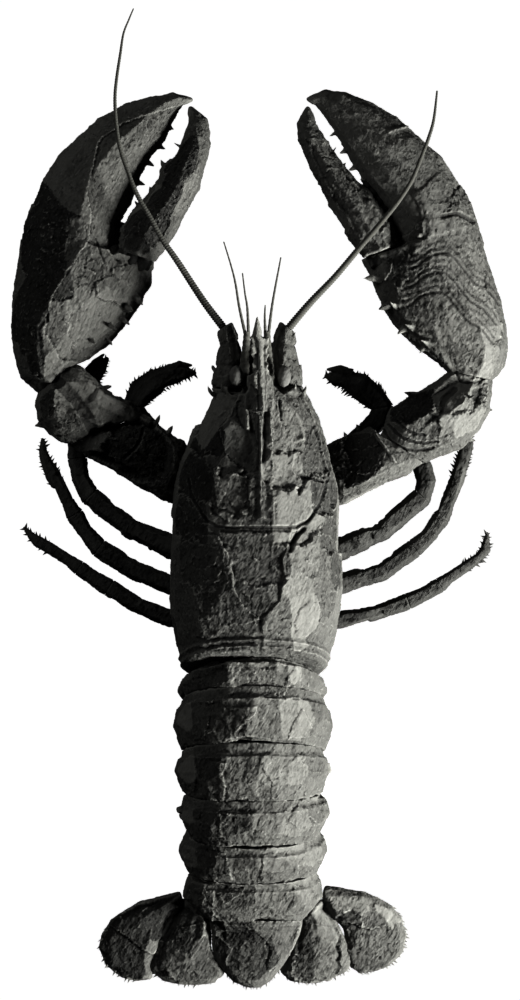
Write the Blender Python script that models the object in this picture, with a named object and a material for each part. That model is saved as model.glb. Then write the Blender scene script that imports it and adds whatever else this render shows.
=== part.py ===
"""Fossil lobster in the round, turned to dark stone and lying on its belly.

Head towards +Y, back towards +Z, the lobster's own left at -X. The origin is on the surface it
lies on, under the breast plate. Sizes below are in millimetres; MM turns them into metres.

A cross-section of a limb or a fin is given as a station: the plan points of its two edges, then
its lowest and highest z, then where its crest stands between the edges (0 first, 1 second edge).
"""
import math

import bmesh
import bpy
from mathutils import Matrix, Vector, noise

MM = 0.001
GAP = 0.4                   # left between two pieces that meet

# Stone surface: how far a hewn facet stands off the smooth form, and how wide facets are.
HEWN_DEPTH = 0.9
HEWN_WIDTH = 9.0

# Carapace: front margin to rear rim. Rows are y at the crest, y at the flank, left edge,
# right edge and crest height.
CARAPACE_ROWS = [
    (71.0, 71.0, -19.5, 21.0, 43.0), (64.0, 64.0, -22.5, 24.8, 46.0), (56.0, 56.0, -25.7, 28.4, 48.5),
    (47.5, 47.3, -29.7, 31.5, 51.0), (38.5, 38.0, -32.9, 34.2, 53.0), (28.0, 27.5, -35.4, 36.6, 55.0),
    (19.0, 18.0, -37.0, 37.6, 56.6), (11.0, 10.0, -37.6, 38.0, 57.8), (3.0, 2.0, -37.9, 38.4, 58.8),
    (-6.0, -8.0, -38.6, 39.1, 60.0), (-16.0, -19.0, -38.4, 39.0, 60.5),
    (-25.0, -30.0, -37.8, 38.0, 60.0), (-33.0, -39.5, -36.5, 36.4, 58.5),
    (-38.0, -45.5, -34.8, 34.6, 57.0), (-41.0, -49.5, -33.4, 33.2, 55.6),
    (-42.2, -51.0, -34.3, 33.9, 57.0), (-44.0, -52.6, -32.7, 32.4, 55.0),
    (-45.4, -54.2, -33.4, 32.9, 56.0), (-47.3, -56.0, -31.0, 30.6, 53.0)]
CARAPACE_FLANK = 30.0       # height at which the shield is widest
CARAPACE_HEM = 18.0         # height of its flat underside
CARAPACE_HEM_SHARE = 0.86   # width of the underside as a share of the full width
DOME_POWER = 2.25           # 2 is an ellipse, more is squarer
CARAPACE_ANGLES = (0, 12, 24, 36, 50, 64, 77, 90, 103, 116, 130, 144, 156, 168, 180)

CERVICAL_GROOVE = [
    (-30.0, 29.3), (-29.3, 22.5), (-26.0, 16.7), (-22.5, 11.5), (-19.4, 9.0), (-14.9, 7.4), (-5.0, 7.0),
    (4.0, 7.0), (16.7, 7.4), (20.3, 8.3), (24.8, 11.2), (27.5, 15.0), (30.2, 19.4), (32.4, 26.5),
]
GROOVE_RADIUS = 1.3
GROOVE_LIFT = 0.6           # how far the cutter's middle line runs above the back
SIDE_GROOVES = [[(-8.0, 64.0), (-7.2, 54.0)], [(11.0, 65.0), (11.8, 56.0)]]
SIDE_GROOVE_RADIUS = 1.1

# Beds split off the shield, each an outline in plan and one bed deep: the middle strip behind the
# groove, the right flank in front of it, and the hollow beside the left ridge.
FLAKES = [
    [(-8.0, 7.6), (-15.9, 7.9), (-16.1, 3.8), (-13.8, -0.9), (-8.9, -7.4), (-10.9, -9.0), (-9.3, -15.5),
     (-8.9, -21.2), (-4.9, -26.8), (2.2, -33.4), (7.3, -29.3), (11.3, -24.4), (12.6, -15.5),
     (12.6, -5.0), (15.3, -0.3), (16.3, 7.8), (8.0, 7.5), (0.3, 7.2)],
    [(13.6, 68.0), (13.6, 64.4), (17.6, 60.4), (20.1, 57.2), (21.7, 53.1), (23.6, 47.4), (17.6, 45.8),
     (18.5, 41.0), (17.6, 34.5), (21.7, 30.4), (31.6, 28.4), (34.2, 29.0), (32.2, 38.5), (29.5, 47.5),
     (26.4, 56.0), (22.8, 64.0), (20.4, 68.0)],
    [(-8.4, 65.0), (-10.8, 58.5), (-16.4, 53.9), (-17.2, 49.9), (-14.4, 45.8), (-14.0, 41.8),
     (-11.5, 38.5), (-7.5, 36.1), (-5.9, 33.7), (-2.0, 28.4), (-0.6, 34.0), (-1.0, 44.0),
     (-3.4, 52.0), (-3.8, 65.0)],
]
BED = 1.1                   # thickness of one bed of the slate

# Rostrum and ridges, as plan x, y, half width and height of the ridge line.
ROSTRUM = [
    (1.0, 102.0, 0.4, 50.0), (1.1, 97.6, 1.3, 50.2), (1.2, 93.4, 2.5, 49.9), (2.1, 92.5, 4.0, 49.8),
    (2.3, 82.0, 3.9, 48.8), (2.2, 76.0, 4.4, 48.2), (2.1, 68.0, 5.4, 48.6), (2.0, 60.0, 4.6, 49.8)]
ROSTRUM_DEPTH = 6.5
ROSTRUM_TEETH_Y = [91.6, 87.6, 83.6, 79.6]
ROSTRUM_TOOTH = (1.3, 3.4)  # radius and length
MID_RIDGE = [(1.6, 72.0, 1.5), (2.3, 52.0, 1.5), (2.6, 36.0, 1.7), (2.9, 24.0, 2.6), (2.8, 12.0, 3.2)]
LEFT_RIDGE = [(-2.6, 76.0, 1.1), (-3.8, 66.0, 1.3), (-3.4, 52.0, 1.2)]
RIGHT_RIDGE = [(6.6, 76.0, 1.1), (7.2, 66.0, 1.3), (7.3, 46.0, 1.2)]
RIDGE_RISE = 1.3
EYE_SOCKET = (5.6, 8.2, 7.0)     # half sizes of the notch around each eye

EYES = {"eye_left": (-8.4, 75.8, 42.0), "eye_right": (13.0, 75.6, 42.0)}
EYE_SIZE = (2.9, 4.6, 3.3)
CARAPACE_SPINES = [
    ((-19.0, 66.5, 36.0), (-21.6, 72.5, 36.5), 2.2), ((21.0, 66.5, 36.0), (23.6, 72.8, 36.5), 2.2),
    ((-14.6, 67.5, 37.5), (-15.0, 74.5, 41.0), 2.0), ((17.6, 67.5, 37.5), (18.2, 74.5, 41.0), 2.0),
]

# Breast plate: y, half width of the top, half width of the flat bottom.
STERNUM_ROWS = [(50.0, 12.0, 7.0), (44.0, 23.0, 10.0), (38.0, 24.0, 13.0), (0.0, 24.0, 16.0),
                (-42.0, 24.0, 15.0), (-51.0, 20.0, 12.0)]
STERNUM_TOP = 17.6
STERNUM_SHOULDER = 5.0

# Antennal peduncles, as x, y, radius and turn in degrees, and their scales.
PEDUNCLES = {
    "antenna_base_left": [(-12.6, 71.4, 5.2, 0), (-12.6, 76.0, 5.8, 0), (-12.0, 80.5, 4.8, 0),
                          (-11.9, 82.0, 5.0, 0), (-11.9, 87.5, 4.6, 8), (-12.0, 90.5, 3.8, 15),
                          (-12.2, 92.2, 4.3, 20), (-13.4, 97.4, 3.4, 35)],
    "antenna_base_right": [(14.8, 71.4, 5.2, 0), (14.4, 76.0, 6.0, 0), (13.6, 80.5, 5.4, 0),
                           (13.2, 82.0, 5.6, 0), (12.9, 87.5, 5.0, -6), (13.3, 90.5, 4.0, -12),
                           (13.6, 92.2, 4.4, -16), (14.4, 97.4, 3.6, -40)],
}
PEDUNCLE_Z = 30.0
SCALES = {
    "antenna_base_left": [(-16.8, 72.4, 2.2), (-17.0, 76.0, 1.7), (-18.6, 80.2, 0.4)],
    "antenna_base_right": [(18.6, 72.4, 2.2), (18.8, 76.0, 1.9), (20.0, 80.8, 0.4)],
}
SCALE_THICKNESS = 4.4
SCALE_SPINES = {
    "antenna_base_left": [((-15.2, 83.0, 31.0), (-16.6, 87.2, 31.5), 1.4),
                          ((-14.8, 91.6, 31.5), (-17.0, 95.4, 32.5), 1.4)],
    "antenna_base_right": [((16.6, 84.0, 31.0), (18.0, 88.6, 31.5), 1.4),
                           ((16.2, 91.8, 31.5), (18.2, 96.4, 32.5), 1.4)],
}

# Whips, as x, y, z and radius. The long pair passes over the claws.
ANTENNAE = {
    "antenna_left": [(-14.6, 98.2, 31.0, 1.9), (-23.2, 109.6, 33.5, 1.7), (-34.6, 127.0, 35.0, 1.5),
                     (-41.5, 137.0, 35.5, 1.3), (-47.0, 147.0, 35.8, 1.2), (-53.0, 157.5, 36.0, 1.1),
                     (-57.5, 169.0, 36.0, 1.0), (-60.5, 178.0, 36.0, 0.95), (-62.2, 189.0, 35.8, 0.9),
                     (-62.8, 200.0, 35.4, 0.8), (-62.1, 209.0, 35.0, 0.75), (-60.4, 220.5, 34.4, 0.65),
                     (-59.0, 229.5, 34.0, 0.5), (-56.5, 236.0, 33.6, 0.4), (-54.5, 240.8, 33.4, 0.3)],
    "antenna_right": [(15.7, 98.1, 31.0, 1.9), (25.0, 109.0, 33.5, 1.7), (36.0, 120.5, 35.0, 1.5),
                      (47.0, 133.5, 36.4, 1.4), (56.0, 144.0, 36.8, 1.3), (64.5, 154.5, 37.0, 1.15),
                      (70.5, 164.0, 37.0, 1.05), (75.0, 175.0, 36.8, 0.95), (78.0, 183.0, 36.4, 0.85),
                      (80.2, 191.0, 36.0, 0.7), (81.7, 203.8, 35.2, 0.45)],
}
ANTENNULES = {
    "antennules_left": [
        [(-5.2, 71.5, 35.5, 2.4), (-4.6, 80.0, 35.8, 2.2), (-3.9, 90.0, 36.6, 1.8),
         (-3.6, 95.8, 37.0, 1.4)],
        [(-4.2, 94.0, 37.0, 0.8), (-7.0, 106.5, 38.6, 0.6), (-8.7, 117.0, 39.4, 0.5),
         (-10.5, 124.5, 39.8, 0.4), (-14.0, 136.0, 40.0, 0.3)],
        [(-2.9, 94.0, 37.0, 0.8), (-3.4, 106.0, 38.4, 0.55), (-4.5, 113.0, 39.0, 0.4),
         (-5.6, 122.0, 39.2, 0.3)]],
    "antennules_right": [
        [(6.9, 71.5, 35.5, 2.4), (6.2, 80.0, 35.8, 2.2), (5.6, 90.0, 36.6, 1.8),
         (5.4, 95.8, 37.0, 1.4)],
        [(6.0, 94.0, 37.0, 0.8), (7.5, 106.0, 38.6, 0.6), (9.0, 115.0, 39.4, 0.5),
         (10.5, 123.0, 39.8, 0.4), (11.6, 129.0, 40.0, 0.3)],
        [(4.7, 94.0, 37.0, 0.8), (4.4, 102.0, 38.0, 0.5), (4.6, 107.6, 38.4, 0.3)]],
}

# Tail: seven rims, as y at the crest, y at the flank, left edge, right edge and crest height, and
# each segment's widest place as left and right edge.
TAIL_RIMS = [
    (-48.5, -62.8, -34.0, 32.0, 51.5), (-62.0, -70.0, -34.4, 32.2, 51.5),
    (-87.8, -92.8, -34.4, 32.4, 50.0), (-115.2, -111.2, -33.0, 30.8, 45.5),
    (-136.8, -129.0, -31.6, 29.8, 39.0), (-153.0, -146.4, -31.0, 28.8, 31.0),
    (-169.6, -169.6, -20.4, 21.2, 21.0)]
TAIL_WIDEST = [(-34.6, 32.4), (-36.8, 35.0), (-36.4, 34.4), (-35.4, 33.2), (-34.2, 32.2), (-32.8, 30.6)]
TAIL_FLANK = 13.0
TAIL_HEM = 0.6
TAIL_CHANNEL = 6.0          # height of the hollow underneath
# How far back along a segment each ring stands, and its size against the widest place.
TAIL_PROFILE = [(0.0, 0.93), (0.17, 0.94), (0.23, 0.99), (0.52, 1.0), (1.0, 0.935)]
TAIL_WIDEST_SHARE = 0.52

TELSON = [(-19.6, -169.8, 20.6, -169.8, 1.0, 19.0, 0.5), (-19.2, -175.5, 19.4, -175.5, 0.0, 16.0, 0.5),
          (-18.7, -182.0, 16.6, -182.0, 0.0, 13.0, 0.5), (-16.4, -187.0, 13.6, -187.0, 0.0, 11.0, 0.5),
          (-13.4, -192.0, 10.4, -191.5, 0.0, 9.0, 0.5), (-9.4, -196.6, 6.0, -196.4, 0.0, 7.0, 0.5),
          (-3.0, -199.2, 2.0, -199.3, 0.5, 4.0, 0.5)]
UROPODS = {
    "uropod_inner_left": [
        (-32.4, -160.4, -21.4, -169.4, 1.0, 10.0, 0.5), (-37.6, -168.0, -20.1, -175.5, 0.0, 10.0, 0.5),
        (-42.8, -178.5, -19.4, -182.6, 0.0, 9.0, 0.5), (-46.4, -188.0, -17.2, -188.6, 0.0, 7.5, 0.5),
        (-46.8, -191.8, -14.6, -193.4, 0.0, 6.5, 0.5), (-41.0, -196.2, -18.6, -197.0, 0.0, 5.0, 0.5),
        (-33.0, -198.0, -27.0, -198.4, 0.5, 3.0, 0.5)],
    "uropod_outer_left": [
        (-34.4, -157.6, -33.6, -160.8, 1.0, 9.0, 0.4), (-42.8, -160.0, -37.6, -166.4, 0.0, 9.5, 0.4),
        (-51.6, -162.2, -40.0, -170.9, 0.0, 9.0, 0.4), (-58.6, -165.8, -42.0, -175.2, 0.0, 8.5, 0.4),
        (-64.4, -170.2, -44.2, -180.2, 0.0, 8.0, 0.4), (-68.2, -176.5, -46.2, -185.4, 0.0, 7.0, 0.4),
        (-69.4, -182.0, -47.4, -189.8, 0.0, 6.0, 0.4), (-66.6, -189.4, -47.4, -195.4, 0.0, 5.0, 0.4),
        (-60.0, -194.8, -53.0, -196.4, 0.5, 3.0, 0.4)],
    "uropod_inner_right": [
        (22.2, -169.2, 30.2, -160.6, 1.0, 10.0, 0.5), (20.4, -175.8, 36.2, -170.6, 0.0, 10.0, 0.5),
        (17.5, -182.5, 40.2, -180.5, 0.0, 9.0, 0.5), (14.5, -188.0, 42.8, -188.2, 0.0, 7.5, 0.5),
        (12.0, -192.4, 41.6, -191.8, 0.0, 6.5, 0.5), (16.4, -196.2, 34.4, -195.4, 0.0, 5.0, 0.5),
        (22.4, -197.4, 28.0, -197.2, 0.5, 3.0, 0.5)],
    "uropod_outer_right": [
        (32.0, -154.8, 31.4, -160.4, 1.0, 9.0, 0.6), (41.0, -156.4, 36.6, -168.6, 0.0, 9.5, 0.6),
        (49.0, -157.8, 39.0, -173.4, 0.0, 9.0, 0.6), (55.6, -160.4, 40.9, -178.5, 0.0, 8.5, 0.6),
        (61.6, -164.0, 42.2, -182.6, 0.0, 8.0, 0.6), (65.8, -169.2, 43.4, -186.6, 0.0, 7.0, 0.6),
        (67.8, -176.5, 43.7, -190.4, 0.0, 6.0, 0.6), (66.0, -184.0, 47.0, -192.8, 0.0, 5.0, 0.6),
        (60.0, -189.8, 54.0, -192.0, 0.5, 3.0, 0.6)],
}

# Claws. The first edge is the outer one. A palm runs from the wrist to the hinge, steps in
# there to make room for the free finger, and goes on as the fixed finger.
PALMS = {
    "claw_palm_left": [
        (-97.5, 68.5, -82.5, 81.5, 11.0, 27.0, 0.35), (-105.0, 75.5, -75.0, 84.0, 5.0, 29.5, 0.3),
        (-108.5, 87.0, -67.5, 89.0, 1.0, 31.0, 0.25), (-109.5, 99.0, -60.0, 97.0, 0.0, 32.0, 0.25),
        (-108.5, 112.5, -52.5, 107.5, 0.0, 32.5, 0.3), (-106.5, 127.5, -47.0, 117.5, 0.0, 32.0, 0.4),
        (-104.0, 144.0, -45.6, 127.2, 0.0, 30.5, 0.48), (-103.6, 145.2, -62.4, 132.8, 0.0, 30.0, 0.6),
        (-100.5, 153.5, -60.8, 144.5, 0.0, 29.0, 0.55), (-95.5, 165.0, -56.0, 154.0, 0.5, 27.5, 0.5),
        (-88.5, 175.5, -51.8, 165.0, 1.0, 26.0, 0.48), (-79.5, 184.5, -46.5, 175.0, 1.5, 24.0, 0.48),
        (-70.0, 192.5, -40.5, 182.0, 2.5, 21.5, 0.5), (-58.5, 199.0, -37.5, 189.0, 4.0, 18.5, 0.5),
        (-47.0, 202.6, -34.0, 196.2, 5.5, 15.5, 0.5), (-37.5, 204.0, -31.5, 199.2, 7.0, 13.0, 0.5),
        (-28.4, 201.4, -28.4, 200.2, 9.0, 10.4, 0.5)],
    "claw_palm_right": [
        (107.0, 74.5, 87.0, 78.0, 11.0, 27.0, 0.35), (112.0, 80.5, 81.0, 83.5, 5.0, 29.5, 0.3),
        (113.5, 89.0, 73.5, 88.5, 1.0, 31.0, 0.25), (112.5, 99.0, 66.0, 95.0, 0.0, 32.0, 0.25),
        (110.0, 110.0, 60.0, 102.5, 0.0, 32.5, 0.3), (107.0, 121.5, 55.5, 112.0, 0.0, 32.5, 0.4),
        (103.5, 133.0, 51.5, 121.5, 0.0, 32.0, 0.45), (100.5, 144.0, 48.5, 128.4, 0.0, 30.5, 0.48),
        (100.0, 145.4, 66.0, 135.0, 0.0, 30.0, 0.6), (96.6, 155.0, 60.4, 149.5, 0.0, 29.0, 0.55),
        (91.0, 164.5, 54.5, 158.0, 0.5, 27.5, 0.5), (83.5, 175.0, 48.8, 164.5, 1.0, 26.0, 0.48),
        (74.0, 184.5, 43.8, 172.0, 1.5, 24.0, 0.48), (64.0, 193.0, 39.6, 179.0, 2.5, 21.5, 0.5),
        (52.5, 199.5, 35.5, 186.5, 4.0, 18.5, 0.5), (41.0, 204.2, 31.0, 193.5, 5.5, 15.5, 0.5),
        (32.0, 205.4, 27.4, 198.5, 7.0, 13.0, 0.5), (23.4, 201.6, 23.6, 200.6, 9.0, 10.4, 0.5)],
}
# The free fingers. The first edge is the toothed one.
FINGERS = {
    "claw_finger_left": [
        (-61.0, 133.1, -45.2, 128.0, 11.0, 28.5, 0.5), (-59.6, 143.0, -40.2, 134.5, 9.5, 29.0, 0.5),
        (-54.5, 150.5, -35.5, 142.0, 6.0, 28.0, 0.5), (-49.5, 156.0, -30.5, 151.0, 2.5, 26.5, 0.5),
        (-44.5, 162.5, -26.0, 160.5, 3.0, 25.0, 0.5), (-42.0, 169.5, -23.0, 170.0, 4.0, 23.0, 0.5),
        (-36.5, 175.5, -21.0, 179.0, 5.0, 20.5, 0.5), (-33.0, 182.0, -20.5, 186.5, 6.0, 18.0, 0.5),
        (-30.2, 188.5, -22.3, 191.6, 7.0, 15.0, 0.5), (-29.8, 197.4, -28.8, 197.6, 8.8, 10.2, 0.5)],
    "claw_finger_right": [
        (64.4, 135.2, 49.0, 129.6, 11.0, 28.5, 0.5), (61.0, 145.0, 43.5, 136.5, 9.5, 29.0, 0.5),
        (56.8, 152.4, 38.5, 145.0, 6.0, 28.0, 0.5), (51.4, 159.2, 34.0, 153.0, 2.5, 26.5, 0.5),
        (45.2, 163.8, 29.8, 161.5, 3.0, 25.0, 0.5), (39.8, 170.0, 26.0, 169.5, 4.0, 23.0, 0.5),
        (36.0, 175.5, 22.6, 177.0, 5.0, 20.5, 0.5), (31.8, 181.5, 20.0, 184.0, 6.0, 18.0, 0.5),
        (28.0, 187.5, 19.5, 190.5, 7.0, 15.0, 0.5), (24.4, 197.4, 23.4, 197.6, 8.8, 10.2, 0.5)],
}
# The lip of each palm that reaches under the root of its free finger.
HINGE_LIPS = {
    "claw_palm_left": [
        (-66.0, 130.0, -48.4, 124.8, 2.0, 8.4, 0.5), (-64.4, 137.0, -46.4, 131.6, 2.0, 7.6, 0.5),
        (-62.6, 146.2, -53.0, 142.6, 2.4, 5.2, 0.5)],
    "claw_palm_right": [
        (69.0, 132.4, 51.4, 125.4, 2.0, 8.4, 0.5), (67.0, 139.6, 49.6, 132.8, 2.0, 7.6, 0.5),
        (63.2, 149.0, 54.0, 145.4, 2.4, 5.2, 0.5)],
}
WRISTS = {
    "claw_wrist_left": [
        (-97.5, 68.5, -82.5, 81.5, 11.8, 27.0, 0.4), (-98.8, 63.5, -77.0, 78.5, 11.4, 31.0, 0.4),
        (-98.0, 56.0, -70.5, 73.0, 11.4, 34.0, 0.4), (-93.0, 49.6, -62.5, 67.5, 11.4, 34.5, 0.45),
        (-88.4, 46.8, -55.5, 64.5, 11.4, 33.0, 0.5), (-84.5, 45.5, -50.6, 59.0, 11.8, 28.0, 0.5)],
    "claw_wrist_right": [
        (107.0, 74.5, 87.0, 78.0, 11.8, 27.0, 0.4), (106.2, 68.0, 83.0, 74.0, 11.4, 31.0, 0.4),
        (105.2, 59.5, 76.0, 70.0, 11.4, 34.0, 0.4), (101.0, 51.8, 68.0, 66.0, 11.4, 34.5, 0.45),
        (92.4, 43.4, 61.0, 61.5, 11.4, 33.0, 0.5), (75.8, 37.0, 56.6, 49.5, 11.8, 28.0, 0.5)],
}
ARMS = {
    "claw_arm_left": [
        (-84.5, 45.5, -50.6, 59.0, 11.8, 27.0, 0.5), (-77.0, 40.5, -46.0, 57.4, 11.4, 31.0, 0.45),
        (-64.5, 33.5, -41.0, 53.5, 11.4, 31.0, 0.45), (-53.0, 26.8, -36.5, 50.0, 11.4, 29.0, 0.45),
        (-42.0, 20.0, -32.0, 47.5, 11.4, 26.5, 0.45), (-32.0, 17.0, -29.5, 44.0, 11.0, 22.0, 0.5)],
    "claw_arm_right": [
        (75.8, 37.0, 56.6, 49.5, 11.8, 27.0, 0.5), (68.0, 31.6, 51.5, 53.6, 11.4, 31.0, 0.2),
        (58.0, 26.8, 46.0, 51.2, 11.4, 30.0, 0.2), (49.0, 22.4, 40.0, 48.4, 11.4, 28.0, 0.2),
        (41.0, 18.6, 35.0, 46.4, 11.4, 26.0, 0.2), (32.0, 17.0, 29.5, 44.0, 11.0, 22.0, 0.5)],
}
CLAW_JOINTS = {
    "claw_joint_left": [
        (-32.0, 17.0, -29.5, 44.0, 11.2, 17.4, 0.5), (-24.2, 20.0, -24.2, 40.0, 11.2, 17.4, 0.5)],
    "claw_joint_right": [
        (32.0, 17.0, 29.5, 44.0, 11.2, 17.4, 0.5), (24.2, 20.0, 24.2, 40.0, 11.2, 17.4, 0.5)],
}
# Spines and teeth: foot, tip and foot radius.
CLAW_SPINES = {
    "claw_palm_left": [
        ((-53.4, 111.0, 20.0), (-49.6, 107.0, 21.0), 2.8),
        ((-59.6, 101.6, 20.0), (-55.2, 98.2, 21.5), 2.8),
        ((-67.4, 93.6, 20.0), (-63.4, 89.0, 21.5), 2.8),
        ((-76.2, 88.0, 20.0), (-72.6, 83.6, 21.5), 2.4),
        ((-58.5, 107.4, 21.0), (-53.6, 104.4, 28.5), 2.8),
        ((-66.0, 99.4, 22.0), (-61.2, 95.8, 29.5), 2.8),
        ((-74.5, 92.9, 22.5), (-70.4, 89.4, 29.0), 2.6),
        ((-60.2, 126.2, 22.0), (-59.4, 126.8, 30.0), 3.6),
        ((-53.0, 163.5, 14.0), (-49.0, 162.0, 14.0), 2.3),
        ((-48.5, 172.5, 13.0), (-45.2, 170.6, 13.0), 2.0),
        ((-43.5, 180.0, 12.5), (-39.8, 178.2, 12.5), 1.9),
        ((-38.8, 188.5, 11.5), (-36.0, 187.0, 11.5), 1.6)],
    "claw_palm_right": [
        ((54.0, 120.4, 20.0), (49.0, 120.0, 21.0), 2.8),
        ((60.0, 107.8, 20.0), (55.2, 105.8, 21.5), 2.8), ((68.0, 98.0, 20.0), (63.6, 94.6, 21.5), 2.8),
        ((77.2, 90.0, 20.0), (73.8, 85.8, 21.5), 2.4), ((65.5, 106.6, 21.0), (60.0, 109.6, 29.0), 2.8),
        ((72.2, 97.6, 22.0), (66.8, 99.6, 29.5), 2.8), ((79.4, 90.4, 22.5), (74.0, 92.4, 29.5), 2.8),
        ((68.8, 130.4, 24.0), (68.8, 130.6, 31.0), 4.4),
        ((73.7, 139.0, 26.0), (73.7, 139.2, 32.0), 3.6),
        ((50.0, 165.5, 14.0), (46.8, 164.4, 14.0), 1.8),
        ((45.5, 170.5, 13.0), (41.9, 168.6, 13.0), 2.0),
        ((41.0, 178.0, 12.5), (37.4, 176.0, 12.5), 1.9),
        ((36.5, 186.0, 11.5), (33.4, 184.0, 11.5), 1.6)],
    "claw_finger_left": [
        ((-46.2, 158.8, 14.0), (-47.6, 161.9, 14.0), 1.9),
        ((-41.0, 171.0, 13.0), (-42.6, 173.6, 13.0), 1.9),
        ((-33.6, 179.6, 12.0), (-36.2, 181.2, 12.0), 1.6),
        ((-52.2, 152.6, 15.0), (-54.2, 155.2, 15.0), 1.6)],
    "claw_finger_right": [
        ((39.2, 169.6, 13.0), (40.8, 172.4, 13.0), 1.8),
        ((34.4, 176.6, 12.0), (36.4, 179.4, 12.0), 1.7),
        ((31.4, 180.6, 12.0), (33.6, 182.4, 12.0), 1.5)],
    "claw_wrist_left": [
        ((-94.5, 54.5, 22.0), (-99.6, 53.6, 23.0), 3.0),
        ((-69.5, 70.4, 22.0), (-63.6, 71.4, 23.5), 3.0),
        ((-91.5, 62.5, 30.0), (-89.5, 62.8, 35.5), 2.4),
        ((-88.0, 53.5, 30.0), (-86.0, 53.0, 35.5), 2.4)],
    "claw_wrist_right": [
        ((102.5, 61.5, 22.0), (107.6, 60.6, 23.0), 2.8), ((94.5, 48.5, 22.0), (99.8, 46.6, 23.0), 2.8),
        ((73.0, 66.8, 22.0), (66.4, 68.8, 23.5), 3.0), ((97.0, 66.5, 30.0), (99.0, 67.5, 35.0), 2.4)],
    "claw_arm_left": [
        ((-44.8, 54.0, 23.0), (-42.4, 59.0, 24.5), 2.6),
        ((-39.2, 50.4, 22.0), (-36.6, 54.2, 23.5), 2.4)],
    "claw_arm_right": [
        ((47.2, 50.0, 20.0), (45.4, 55.4, 21.5), 2.6), ((41.7, 47.0, 20.0), (39.6, 52.0, 21.5), 2.4)],
}

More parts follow.
